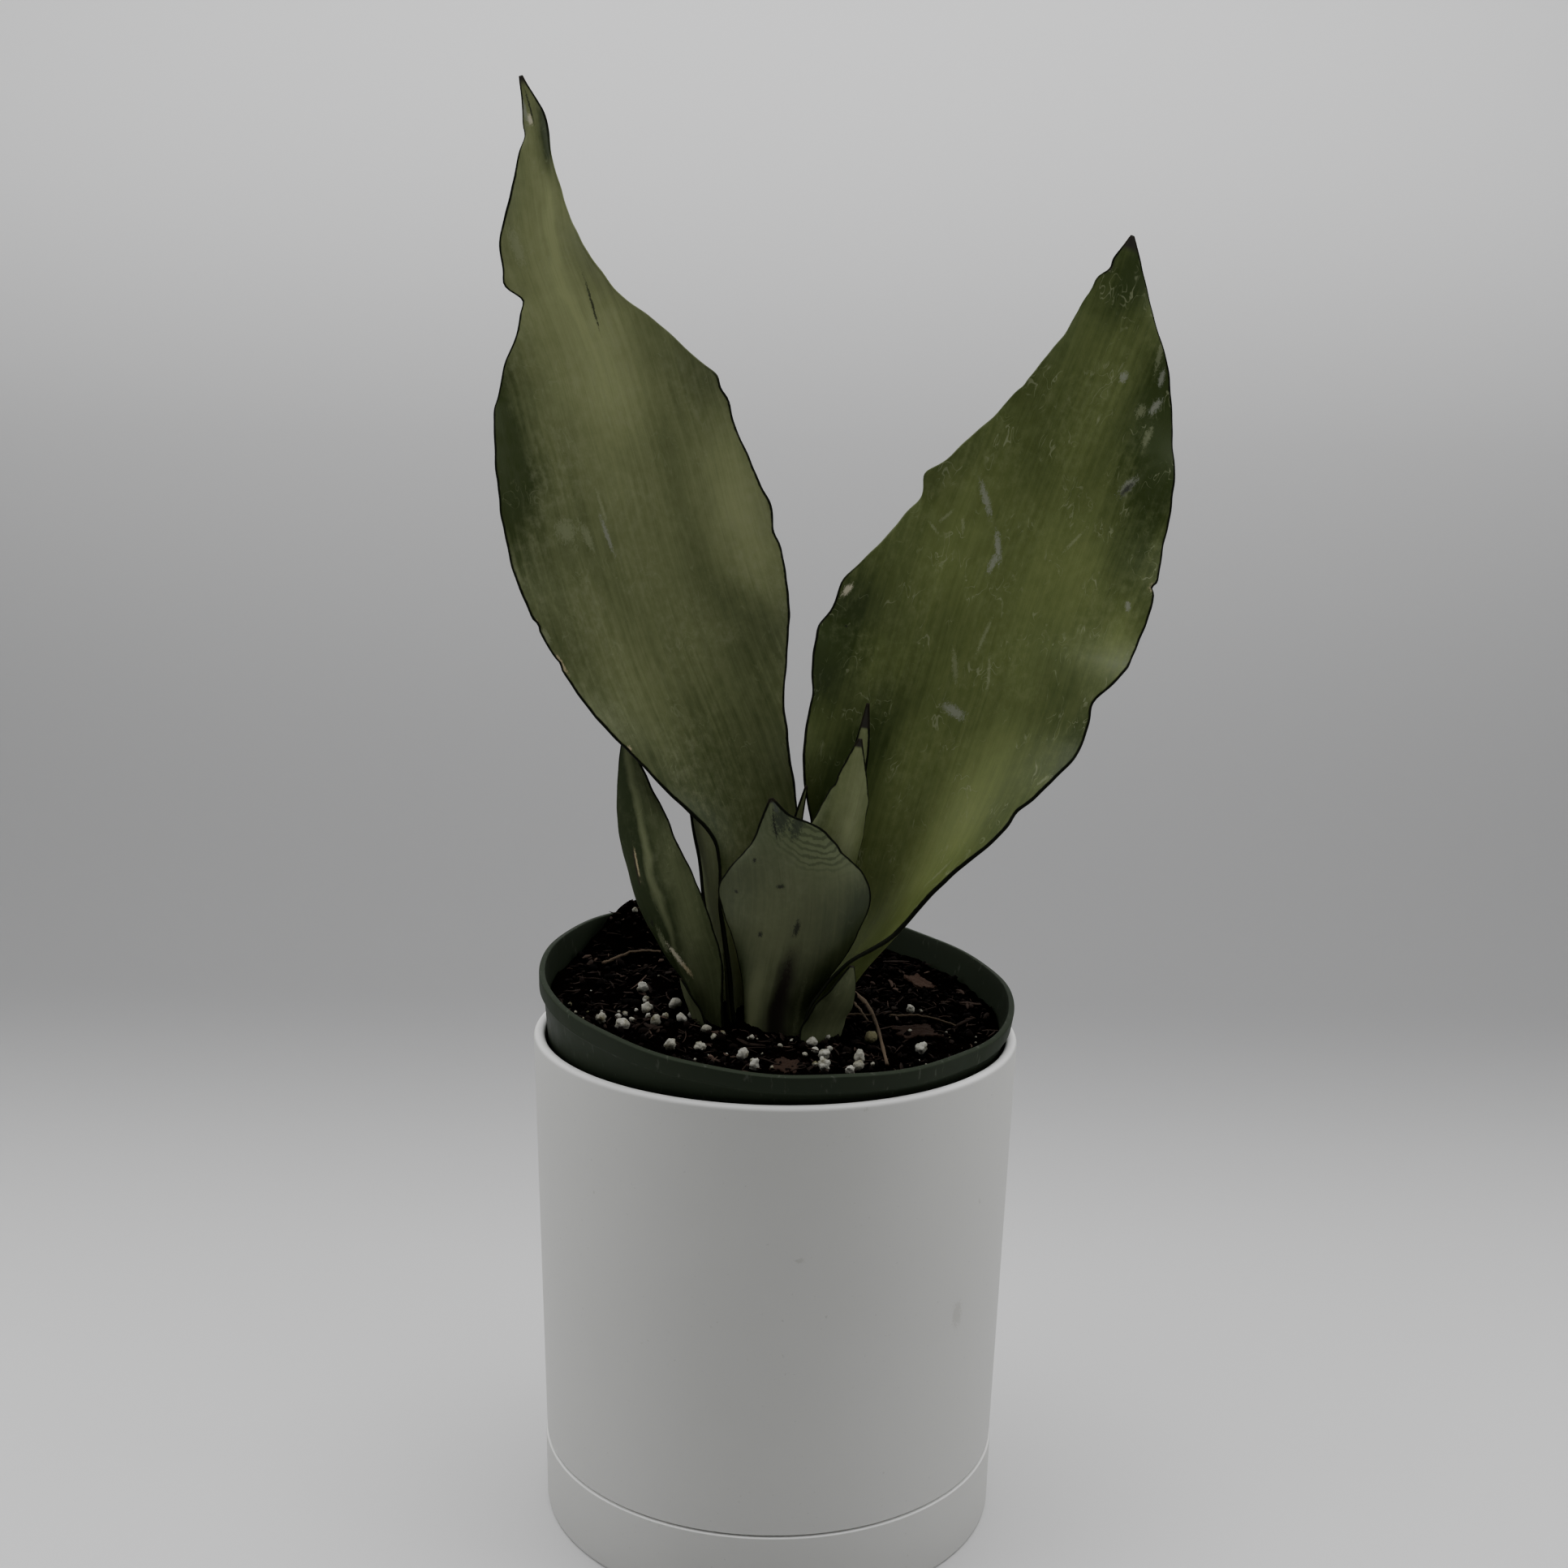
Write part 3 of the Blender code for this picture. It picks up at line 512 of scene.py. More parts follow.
def leaf_shape(name):
    """A leaf's points as rows of rings, and for each point how far it is across, up and in from
    the margin, in millimetres, with its shares across and up."""
    rows, columns, thickness, wave, wave_length = FORMS[name][:5]
    table = np.array(LEAVES[name], float)
    table[:, 5] = np.radians(table[:, 5])
    runs = np.linalg.norm(np.diff(table[:, :3], axis=0), axis=1)
    knots = np.concatenate([[0], np.cumsum(runs)])
    places = knots[-1] * (1 - (1 - np.linspace(0, 1, rows + 1)) ** 1.15)
    read = through(knots, table, places)
    midrib, heading, curl = read[:, :3], read[:, 5], read[:, 6, None]
    halves = {-1: np.maximum(read[:, 3], LEAST_HALF), 1: np.maximum(read[:, 4], LEAST_HALF)}
    for side, height, amount, spread in DENTS.get(name, ()):
        halves[side] = halves[side] + amount * np.exp(-(((places - height) / spread) ** 2))
    left, right = halves[-1][:, None], halves[1][:, None]
    along = unit(np.gradient(midrib, places, axis=0))
    facing = np.stack([np.cos(heading), np.sin(heading), 0 * heading], axis=1)
    hollow = unit(facing - (facing * along).sum(axis=1, keepdims=True) * along)
    across = np.cross(along, hollow)
    # Fine roughness and waves at the margins, which fade out at a narrow tip.
    share = np.sin(np.linspace(-math.pi / 2, math.pi / 2, columns + 1))
    seed = sum(map(ord, name))
    phase = seed % 7
    up = places[:, None]
    rough = 0.15 * np.sin(up / 2.9 + seed) * np.sin(up / 7.3 + 2 * phase)
    rough = rough + 0.1 * np.sin(up / 1.3 + phase) * np.sin(up / 4.1 + seed)
    fade = np.minimum(1, np.maximum(left, right) / 8)
    half = np.where(share < 0, left + rough * fade, right + np.roll(rough, 13, axis=0) * fade)
    width = share * half
    turn = width / curl
    ripples = np.abs(share) ** 3 * np.sin(2 * math.pi * up / wave_length + phase + 1.7 * share)
    slow = np.sin(2 * math.pi * up / (2.3 * wave_length) + seed)
    ripples = ripples + 0.5 * np.abs(share) ** 1.5 * slow
    sideways = np.sin(turn) * curl
    inward = (1 - np.cos(turn)) * curl + wave * fade * ripples
    middle = midrib[:, None] + across[:, None] * sideways[..., None]
    middle = middle + hollow[:, None] * inward[..., None]
    normal = unit(np.cross(np.gradient(middle, axis=0), np.gradient(middle, axis=1)))
    # The blade thins towards its tip and its margins, which end round.
    rise = places / places[-1]
    taper = np.interp(rise, (0, 0.25, 0.8, 1), (1, 1, 0.6, 0.35))
    limit = np.where(share < 0, left, right)
    inset = limit * (1 - np.abs(share))
    thick = thickness / 2 * taper[:, None] * (1 - 0.55 * share**2)
    near = np.clip(1 - inset / np.maximum(np.minimum(thick, limit), 1e-6), 0, 1)
    thick = thick * np.sqrt(np.maximum(1 - near**2, 0))
    front = middle + normal * thick[..., None]
    back = middle - normal * thick[..., None]
    ring = np.concatenate([front, back[:, -2:0:-1]], axis=1)
    ring[..., 2] += CROWN_HEIGHT / MM

    def both(values):
        """The values over the front, and again over the back."""
        values = np.broadcast_to(values, middle.shape[:2])
        return np.concatenate([values, values[:, -2:0:-1]], axis=1)

    place = np.stack([both(width), both(up), both(inset)], axis=-1)
    shares = np.stack([both(share[None]), both(rise[:, None]), both(0)], axis=-1)
    return ring, place, shares


# What marks are painted with: a colour and how far it covers.
PAINTS = {
    "faint": ((0.215, 0.235, 0.135), 0.42),
    "scar": ((0.2, 0.21, 0.165), 0.75),
    "tan": ((0.36, 0.3, 0.18), 0.8),
    "cream": ((0.48, 0.45, 0.33), 0.9),
    "ash": ((0.058, 0.066, 0.054), 0.85),
    "flap": ((0.022, 0.029, 0.018), 0.8),
    "dark": ((0.009, 0.01, 0.006), 0.85),
    "brown": ((0.02, 0.014, 0.01), 0.88),
}
# Dark, pale and bloomed greens; the shade greens are darker, as painted shade for a leaf that lies in
# shade.
GREENS = {
    "olive": ((0.026, 0.038, 0.007), (0.228, 0.25, 0.112), (0.205, 0.214, 0.132)),
    "grass": ((0.022, 0.036, 0.003), (0.172, 0.205, 0.062), (0.17, 0.19, 0.092)),
    "grey": ((0.034, 0.046, 0.018), (0.17, 0.188, 0.095), (0.18, 0.19, 0.125)),
    "shade": ((0.016, 0.025, 0.006), (0.125, 0.142, 0.07), (0.15, 0.16, 0.1)),
    "fresh": ((0.07, 0.088, 0.03), (0.26, 0.29, 0.135), (0.24, 0.26, 0.155)),
}
# Old marks: paint, millimetres across and up, half-length and half-width, and degrees turned.
MARKS = {
    "leaf_tall_left": (
        ("dark", 5, 181, 7.5, 0.34, -5), ("faint", -6.9, 135, 5, 0.5, 4),
        ("scar", -7.2, 127.5, 5.5, 0.6, 6), ("faint", -12, 128.5, 4.5, 1.2, 12),
        ("faint", -16.6, 130.7, 3.5, 3, 0), ("tan", -29.6, 112.2, 1.1, 0.7, 0),
        ("faint", -28.4, 109, 2.6, 1.3, 10), ("tan", -26.9, 102, 3, 0.6, 12),
        ("tan", -19.4, 78.9, 1, 0.6, 0), ("cream", -0.1, 227.5, 1.7, 0.7, 8),
        ("faint", -8, 199, 5, 1.6, 8), ("dark", 0.5, 230.5, 5.5, 0.28, 4),
        ("scar", -1, 230.5, 4.5, 0.7, 2),
    ),
    "leaf_tall_right": (
        ("scar", -10.2, 137.2, 5.4, 1, 37), ("scar", -3.2, 127.5, 4.5, 0.9, 25),
        ("scar", -3, 123.6, 3.2, 1, -8), ("scar", -1.3, 86.9, 1.6, 3.8, -16),
        ("faint", -17.6, 130, 2.8, 0.5, -30), ("faint", -13, 129.4, 2.4, 0.5, 20),
        ("faint", -19.5, 126.5, 2, 0.5, 60), ("scar", 9.5, 176.6, 1.7, 1.1, 0),
        ("scar", 18, 179.5, 2.4, 0.8, 10), ("scar", 19.4, 173.3, 2.6, 1.1, -15),
        ("faint", 16.6, 170.8, 2, 1.4, 0), ("faint", 15.5, 184, 4.5, 0.8, 10),
        ("faint", 20.5, 165.5, 3.5, 1, 0), ("scar", 20.7, 152, 3.6, 1.3, -20),
        ("dark", 20.7, 151.4, 2.6, 0.8, -22), ("faint", 13.4, 135, 4, 0.45, -24),
        ("scar", 31, 123.9, 1.4, 0.8, 20), ("cream", -34.6, 107.8, 1.7, 0.9, -40),
        ("tan", 35.4, 130.4, 1.5, 1.3, 0), ("faint", 10.8, 48.2, 5.5, 0.45, -28),
        ("faint", 26.6, 77.1, 2.4, 0.45, -30), ("faint", -4.4, 97.5, 5, 0.9, 20),
        ("faint", 0.5, 106, 5.5, 0.6, -8), ("faint", 4, 98, 4.5, 0.5, 14),
        ("cream", -3.4, 199.6, 1.2, 0.8, 0), ("dark", -32.5, 100, 0.5, 0.4, 0),
    ),
    "leaf_front_broad": (
        ("flap", -1.2, 57.8, 4.8, 2.5, 30), ("flap", -4, 55, 4, 1.6, 40),
        ("ash", -0.6, 61.5, 2.6, 0.8, 6), ("dark", 1, 56.6, 4.2, 0.3, 12),
        ("brown", -0.6, 16, 9, 1.2, 3), ("dark", -1.4, 31.5, 2.4, 0.8, 10),
        ("dark", 8.1, 48.9, 0.9, 0.6, 0), ("dark", 13.6, 39.3, 0.8, 0.6, 0),
        ("dark", 6.7, 28.6, 0.9, 0.7, 0), ("dark", 2.6, 41.6, 0.7, 1.1, 0),
        ("faint", -5, 12, 8, 0.8, 4),
    ),
    "leaf_left_short": (
        ("tan", 4.9, 47.5, 4.5, 0.4, 6), ("brown", 5.6, 46.5, 5, 0.35, 6),
        ("cream", 1.8, 23, 5, 0.9, -24), ("tan", 0.4, 20, 2.6, 0.8, -24),
        ("faint", 5, 28, 4, 1.4, 0), ("dark", 6.5, 33, 1.2, 0.8, 0),
    ),
    "leaf_back_left": (("dark", -5.4, 47, 3, 0.6, 0),),
}  # fmt: skip
# Soft washes of painted light and shade, for the sheen and shading on the leaves: how much lighter,
# and the same places as for marks.
LIGHT_AND_SHADE_WASHES = {
    "leaf_tall_left": (
        (0.5, 0, 190, 66, 24, -2), (0.3, 1.4, 203, 42, 2.6, -2), (-0.9, 3.6, 224, 16, 4.4, -6),
        (0.16, 10, 165, 30, 20, 0), (-0.4, -27, 152, 42, 12, -4), (0.62, 25, 126, 34, 15, 4),
        (0.12, 3, 136, 46, 16, 0), (-0.1, 14, 90, 30, 9, 0), (0.16, -12, 92, 34, 12, 8),
        (-0.32, -14, 48, 18, 8, 8), (-0.28, -4, 60, 38, 24, 0),
    ),
    "leaf_tall_right": (
        (-0.4, 24, 166, 52, 15, 6), (-0.36, 2, 199, 18, 9, 0), (-0.46, -34, 95, 22, 11, 0),
        (-0.34, -20, 70, 36, 11, -12), (-0.3, 31, 82, 24, 7, 0), (0.24, 15, 126, 32, 16, -6),
        (0.24, -14, 128, 26, 14, 0), (0.46, 9, 58, 44, 13, -10), (0.26, 31, 118, 14, 7, 0),
        (-0.14, -2, 160, 28, 12, 0),
    ),
    "leaf_front_broad": (
        (0.3, 3, 28, 22, 13, 0), (0.75, 5.4, 8, 16, 3.4, 0), (-0.35, -17, 34, 16, 6, 0),
        (-0.45, 11, 12, 16, 4, 0), (-0.3, -10, 14, 16, 4, 0), (0.25, -8, 46, 10, 12, 0),
    ),
    "leaf_left_short": (
        (-1.35, 8.5, 40, 60, 12, 2), (0.22, -4.5, 34, 34, 5, 4), (1, 1.7, 44, 42, 2, 3),
    ),
    "leaf_inner_front": ((0.25, -2.5, 56, 24, 3.2, 0), (-0.35, 5, 45, 40, 3, 0)),
}  # fmt: skip
# Margins without a dark line: a side and a stretch up the midrib.
BARE_MARGINS = {"leaf_tall_left": (1, 158, 222), "leaf_tall_right": (-1, 112, 196)}
TORN_LEAF = "leaf_front_broad"


def spot(look, place, x, y, length, width, turn):
    """How far out of an ellipse on the leaf a point is, with one at its edge."""
    away = look.vector("SUBTRACT", place, (x, y, 0))
    turned_back = look.add(
        "VectorRotate", 0, {"rotation_type": "Z_AXIS"}, Vector=away, Angle=-math.radians(turn)
    )
    return look.reach(turned_back, (1 / width, 1 / length, 0))


def torn_bands(look, color, place, swayed, rise):
    """Wavy growth bands round the front leaf's torn tip, and painted shade in the crease up its foot.
    """
    wobble = look.times(look.grain(place, (0.22, 0.22, 0)), 3.4)
    ring = look.plus(spot(look, place, -9.5, 57.5, 1, 1, 0), wobble)
    wave = look.step(look.math("SINE", look.times(ring, 4.6)), -0.2, 0.8)
    zone = look.times(look.step(ring, 17.5, 13), look.step(ring, 4, 6))
    zone = look.times(zone, look.step(rise, 0.55, 0.66))
    color = look.mix(look.step(ring, 20, 10, 0, 0.35), color, (0.115, 0.15, 0.07))
    patchy = look.times(zone, look.step(look.axis(place, "X"), 4, -7, 0.22, 0.62))
    color = look.mix(look.times(wave, patchy), color, (0.03, 0.04, 0.016))
    # Painted shade: the crease up the leaf's foot is painted dark, where shade falls in its groove.
    crease_shade = look.step(spot(look, swayed, -1, 9, 22, 3.9, 1), 1, 0.3, 0, 0.93)
    return look.mix(crease_shade, color, (0.014, 0.011, 0.007))


def wear_marks(look, color, place, scrapes, marks):
    """Fine scrapes at random, and the leaf's own marks with worn edges."""
    thread = look.grain(place, (0.34, 0.17, 0), 1.5, 0.5, 1.1)
    thread = look.math("ABSOLUTE", look.minus(thread, 0.5))
    zone = look.grain(place, (0.11, 0.08, 0), 3, 0.7)
    scrape = look.times(look.step(thread, 0.022, 0.006), look.step(zone, 0.5, 0.64))
    color = look.mix(look.times(scrape, scrapes), color, PAINTS["faint"][0])
    worn = look.grain(place, (2.4, 1.2, 0), 5, 0.85, 0.8)
    worn = look.times(look.minus(worn, 0.5), 3.6)
    for kind, *where in marks:
        paint, share = PAINTS[kind]
        edge = look.plus(spot(look, place, *where), worn)
        color = look.mix(look.step(edge, 1, 0.45, 0, share), color, paint)
    return color


def dark_margin(look, place, inset, name):
    """How strongly the thin dark line along the margins shows."""
    ragged = look.plus(inset, look.times(look.grain(place, (0.6, 0.6, 0)), 0.4))
    wider = 0.25 if name == TORN_LEAF else 0
    margin = look.step(ragged, 0.8 + wider, 0.46 + wider)
    if name not in BARE_MARGINS:
        return margin
    side, low, high = BARE_MARGINS[name]
    up = look.axis(place, "Y")
    clear = look.times(look.step(up, low - 5, low + 5), look.step(up, high + 5, high - 5))
    clear = look.times(clear, look.step(look.axis(place, "X"), 0, side))
    return look.times(margin, look.minus(1, look.times(clear, 0.8)))


def leaf_look(name):
    """A waxy leaf: fine streaks along it, a lighter middle, soft washes of painted light and shade, a
    dark thin margin, a dry tip and old marks."""
    greens, sheen, gloss, scrapes, dry = FORMS[name][5:]
    look = Look(name.replace("leaf_", "skin_"), 0.45, 0.3)
    kept = look.stored("leaf_place")
    place = look.stretch(kept, (1, 1, 0))
    shares = look.stored("leaf_shares")
    rise = look.axis(shares, "Y")
    fine = look.grain(place, (3.2, 0.07, 0), 2)
    streak = look.grain(place, (0.9, 0.018, 0), 3, 0.6)
    broad = look.grain(place, (0.045, 0.028, 0), 2, 0.5, 0.6)
    mottle = look.grain(place, (0.5, 0.33, 0), 4, 0.7)
    middle = look.step(look.math("ABSOLUTE", look.axis(shares, "X")), 0.95, 0.1)
    light = look.step(streak, 0.3, 0.72, 0, 0.12)
    light = look.plus(light, look.step(broad, 0.3, 0.7, 0, 0.12))
    light = look.plus(light, look.times(middle, 0.14))
    light = look.plus(light, look.times(mottle, 0.28))
    sway = look.add("TexNoise", "Color", Vector=look.stretch(place, (0.07, 0.05, 0)), Scale=1)
    sway = look.stretch(look.vector("SUBTRACT", sway, (0.5, 0.5, 0.5)), (9, 18, 0))
    swayed = look.vector("ADD", place, sway)
    # Painted light and shade: soft washes of sheen and shading, lighter or darker by their amount.
    for amount, *where in LIGHT_AND_SHADE_WASHES.get(name, ()):
        light = look.plus(light, look.step(spot(look, swayed, *where), 1, 0, 0, amount))
    dark_green, pale_green, grey_green = GREENS[greens]
    color = look.mix(light, dark_green, pale_green)
    bloom = look.times(look.step(mottle, 0.42, 0.75), look.step(broad, 0.42, 0.62))
    color = look.mix(look.times(bloom, 0.24), color, grey_green)
    color = look.mix(look.step(fine, 0.55, 0.75, 0, 0.16), color, dark_green)
    if name == TORN_LEAF:
        color = torn_bands(look, color, place, swayed, rise)
    color = wear_marks(look, color, place, scrapes, MARKS.get(name, ()))
    margin = dark_margin(look, place, look.axis(kept, "Z"), name)
    color = look.mix(margin, color, (0.006, 0.007, 0.004))
    color = look.mix(look.step(rise, dry - 0.006, dry + 0.004), color, (0.016, 0.014, 0.009))
    matt = look.minus(1, look.times(margin, 0.9))
    look.put(look.shader.inputs["Specular IOR Level"], look.times(matt, gloss))
    look.bump(look.plus(look.times(fine, 0.6), streak), 0.05 * MM, 0.5)
    look.bump(look.grain(place, (5, 3.2, 0), 2), 0.03 * MM, 0.35)
    if name == TORN_LEAF:
        groove = look.step(spot(look, place, -1.2, 12, 26, 3, 0), 1, 0, 0, -1)
        look.bump(groove, 1.6 * MM, 0.8)
    rough = look.plus(mottle, look.times(streak, 0.5))
    return look.finish(color, look.step(rough, 0.5, 1, sheen - 0.05, sheen + 0.12))


def build_leaves():
    for name in LEAVES:
        ring, place, shares = leaf_shape(name)
        faces = skin(*ring.shape[:2])
        piece = make(name + "_grown", ring * MM, faces, leaf_look(name), (name,))
        store(piece, "leaf_place", place)
        store(piece, "leaf_shares", shares)


# -------- pots


# Faint scuffs on the glaze: x, y, height, half-width and half-height in millimetres.
GLAZE_SCUFFS = (
    (47.9, -32, 89.8, 0.7, 1),
    (6.3, -57.3, 85.6, 1.3, 0.7),
    (20, -54.8, 120, 0.9, 0.6),
    (43.6, -37.6, 64.1, 2.2, 4),
    (-51, 26, 60, 1.2, 0.8),
)
SEGMENTS = 192  # of the ceramic's turned shapes
DRAIN_HOLE = 6 * MM
FOOT_WIDTH = 5 * MM
SAUCER_FLOOR = 3 * MM


def ceramic_look():
    """White matt glaze with faint clouding, tiny pits and a few scuffs, and painted light on faces
    that look up.
    """
    look = Look("matt_glaze", 0.55, 0.4)
    place = look.object_place()
    cloud = look.grain(place, 22, 3, 0.6)
    speck = look.grain(place, 900, 2)
    color = look.mix(cloud, (0.478, 0.479, 0.46), (0.535, 0.536, 0.517))
    color = look.mix(look.step(speck, 0.7, 0.78), color, (0.42, 0.42, 0.4))
    wear = look.times(look.minus(look.grain(place, 1400, 4, 0.8), 0.5), 3)
    for *centre, width, height in GLAZE_SCUFFS:
        away = look.vector("SUBTRACT", place, tuple(length * MM for length in centre))
        wide, high = 1 / (width * MM), 1 / (height * MM)
        edge = look.plus(look.reach(away, (wide, wide, high)), wear)
        color = look.mix(look.step(edge, 1, 0.5, 0, 0.4), color, (0.3, 0.29, 0.255))
    # Painted light: faces that look up, such as the rim's top and the saucer's ledge, are painted
    # lighter, as the lamps above light them more.
    upward = look.axis(look.add("NewGeometry", "Normal"), "Z")
    color = look.mix(look.step(upward, 0.2, 0.9), color, (0.9, 0.9, 0.885))
    look.bump(look.grain(place, 260, 4, 0.6), 0.05 * MM, 0.5)
    look.bump(cloud, 0.2 * MM, 0.4)
    return look.finish(color, look.step(cloud, 0.3, 0.7, 0.5, 0.62))


def build_pots():
    """The cover pot and its saucer, whose top edge shows as a ledge under the seam."""
    glaze = ceramic_look()
    seam = saucer_high.z + 0.25 * MM
    floor = pot_low.z + 6 * MM
    foot = SEAM_RADIUS - 3.8 * MM
    corners = [
        (DRAIN_HOLE, floor, 0.5 * MM),
        (foot - WALL, floor, 3 * MM),
        (SEAM_RADIUS - WALL, seam + WALL, 0),
        (RIM_RADIUS - WALL, pot_high.z, 1.25 * MM),
        (RIM_RADIUS, pot_high.z, 1.25 * MM),
        (SEAM_RADIUS - 0.3 * MM, seam, 0.8 * MM),
        (foot, seam, 0),
        (foot, pot_low.z, 0.6 * MM),
        (foot - FOOT_WIDTH, pot_low.z, 0.6 * MM),
        (foot - FOOT_WIDTH, pot_low.z + 2 * MM, 0.5 * MM),
        (DRAIN_HOLE, pot_low.z + 2 * MM, 0.5 * MM),
    ]
    points, faces = turned(rounded(corners), SEGMENTS)
    make("cover_pot_glazed", points, faces, glaze, ("cover_pot",))
    inside = SEAM_RADIUS - 3.2 * MM
    corners = [
        (0.1 * MM, SAUCER_FLOOR, 0),
        (inside, SAUCER_FLOOR, 1 * MM),
        (inside, saucer_high.z, 0.4 * MM),
        (SEAM_RADIUS, saucer_high.z, 0.4 * MM),
        (SAUCER_BASE_RADIUS, 0, 1 * MM),
        (0.1 * MM, 0, 0),
    ]
    points, faces = turned(rounded(corners), SEGMENTS, ring=False)
    make("saucer_glazed", points, faces, glaze, ("saucer",))


def liner_look():
    """Dark green plastic with fine scuffs, dried water marks and painted shade on its inside."""
    look = Look("green_plastic_skin", 0.6, 0.08)
    place = look.object_place()
    cloud = look.grain(place, 60, 4, 0.6)
    scuff = look.grain(look.stretch(place, (1, 1, 0.25)), 700, 3)
    color = look.mix(cloud, (0.0145, 0.02, 0.0118), (0.0215, 0.0295, 0.0172))
    color = look.mix(look.step(scuff, 0.62, 0.74, 0, 0.7), color, (0.055, 0.062, 0.048))
    # Painted shade: the inner wall is painted darker, as the inside of the pot lies in shade.
    inner = look.axis(look.stored("inner"), "X")
    color = look.mix(look.times(inner, 0.8), color, (0.002, 0.003, 0.0018))
    look.bump(cloud, 0.15 * MM, 0.5)
    look.bump(scuff, 0.03 * MM, 0.4)
    return look.finish(color, look.step(cloud, 0.3, 0.7, 0.52, 0.68))


def cut_drains(piece):
    """Cut the round drain holes through the nursery pot's bottom."""
    shape = bmesh.new()
    for i in range(DRAINS):
        centre = seat(polar(DRAIN_RING, 2 * math.pi / DRAINS * i, -LINER_DEPTH))
        bmesh.ops.create_cone(
            shape, cap_ends=True, segments=32, radius1=DRAIN_RADIUS, radius2=DRAIN_RADIUS,
            depth=5 * LINER_WALL, matrix=Matrix.Translation(centre) @ tilt.to_4x4(),
        )  # fmt: skip
    mesh = bpy.data.meshes.new("drain_cutter")
    shape.to_mesh(mesh)
    shape.free()
    cutter = link("drain_cutter", mesh)
    cut = piece.modifiers.new("drains", "BOOLEAN")
    cut.solver = "EXACT"
    cut.object = cutter
    bpy.context.view_layer.update()
    ready = piece.evaluated_get(bpy.context.evaluated_depsgraph_get())
    piece.data = bpy.data.meshes.new_from_object(ready)
    piece.modifiers.clear()
    bpy.data.objects.remove(cutter)


def wavy(turn, r, z):
    """The nursery pot's point, with its rim a little out of true and folded in at one place."""
    near = math.exp(-((z / (6 * MM)) ** 2))
    fold = math.exp(-((math.remainder(turn - math.radians(-38), 2 * math.pi) / 0.3) ** 2))
    low = 0.35 * math.sin(3 * turn + 0.6) + 0.2 * math.sin(7 * turn)
    r += near * (0.25 * low - 0.55 * fold * (1 + math.cos(9 * turn))) * MM
    z += near * (0.25 * math.sin(5 * turn + 1) + 0.12 * math.sin(13 * turn)) * MM
    return r, z


def build_liner():
    bottom = LINER_RADIUS - LINER_TAPER * LINER_DEPTH
    corners = [
        (0.5 * MM, -LINER_DEPTH + LINER_WALL, 0),
        (bottom - LINER_WALL, -LINER_DEPTH + LINER_WALL, 1.5 * MM),
        (LINER_RADIUS - LINER_WALL, -2.2 * MM, 0),
        (LINER_RADIUS - 0.7 * MM, 0, 0.3 * MM),
        (LINER_RADIUS + 0.7 * MM, -0.3 * MM, 0.35 * MM),
        (LINER_RADIUS + 0.4 * MM, -4 * MM, 0.3 * MM),
        (LINER_RADIUS - 0.75 * MM, -5.2 * MM, 0),
        (bottom, -LINER_DEPTH, 1.5 * MM),
        (0.5 * MM, -LINER_DEPTH, 0),
    ]
    outline = rounded(corners, 5)
    count = len(outline)
    points, faces = turned(outline, 180, wavy, ring=False)
    points = [seat(point) for point in points]
    look = liner_look()
    piece = make("nursery_pot_moulded", points, faces, look, ("nursery_pot",))
    # The points of the inner wall, which the liner's material paints with shade.
    inner = [
        k < count / 2 and r < LINER_RADIUS + LINER_TAPER * z - 0.9 * MM
        for k, (r, z) in enumerate(outline)
    ]
    store(piece, "inner", [(inner[i % count], 0, 0) for i in range(len(points))])
    cut_drains(piece)


# -------- soil and litter


def soil_look():
    look = Look("peat", 1, 0)
    place = look.object_place()
    lump = look.grain(place, 420, 6, 0.7)
    patch = look.step(look.grain(place, 110, 4, 0.6), 0.5, 0.7, 0, 0.45)
    # The peat's colour is near black: partly its own dark colour, partly painted shade for the shade
    # inside the pot.
    color = look.mix(lump, (0.0003, 0.00025, 0.00022), (0.0022, 0.0014, 0.0011))
    color = look.mix(patch, color, (0.0035, 0.0018, 0.0012))
    look.bump(lump, 1.2 * MM, 0.9)
    look.bump(look.grain(place, 1500, 3), 0.3 * MM, 0.8)
    return look.finish(color)


def litter_look(name, low, high, roughness, depth):
    """Loose bits whose colour runs from low to high by the bit's own tint."""
    look = Look(name, roughness, 0.06)
    tint = look.axis(look.stored("tint"), "X")
    place = look.object_place()
    grime = look.grain(place, 700, 4, 0.7)
    share = look.plus(look.times(tint, 0.8), look.times(grime, 0.35), clamp=True)
    look.bump(look.grain(place, 1600, 4, 0.7), depth, 0.8)
    return look.finish(look.mix(share, low, high))


def build_soil():
    """The soil's lumpy top over a plain body, as rings round a middle point."""
    rings, segments = 110, 300
    edge = SOIL_EDGE + 0.2 * MM
    foot = LINER_RADIUS + LINER_TAPER * SOIL_BOTTOM - 1.6 * MM
    turns = [2 * math.pi * i / segments for i in range(segments)]
    points = [(0, 0, ground(0, 0))]
    for ring in range(1, rings + 1):
        for turn in turns:
            x, y = polar(edge * ring / rings, turn)
            points.append((x, y, ground(x, y)))
    points += [polar(foot, turn, SOIL_BOTTOM) for turn in turns]
    points.append((0, 0, SOIL_BOTTOM))
    faces = []
    for i in range(segments):
        j = (i + 1) % segments
        faces.append((0, 1 + i, 1 + j))
        for ring in range(rings):
            start = 1 + ring * segments
            faces.append((start + i, start + segments + i, start + segments + j, start + j))
        last = 1 + rings * segments
        faces.append((len(points) - 1, last + j, last + i))
    placed = [seat(point) for point in points]
    make("soil_fine", placed, faces, soil_look(), ("potting_soil", "rhizome"))


def ball(subdivisions):
    shape = bmesh.new()
    bmesh.ops.create_icosphere(shape, subdivisions=subdivisions, radius=1)
    points = np.array([v.co for v in shape.verts])
    faces = [[v.index for v in f.verts] for f in shape.faces]
    shape.free()
    return points, faces


CRUMBS = 1500
SHREDS = 780
PERLITE_TRIES = 170  # spots for the smallest grains, of which few at the back are kept
ROOT_TRIES = 34


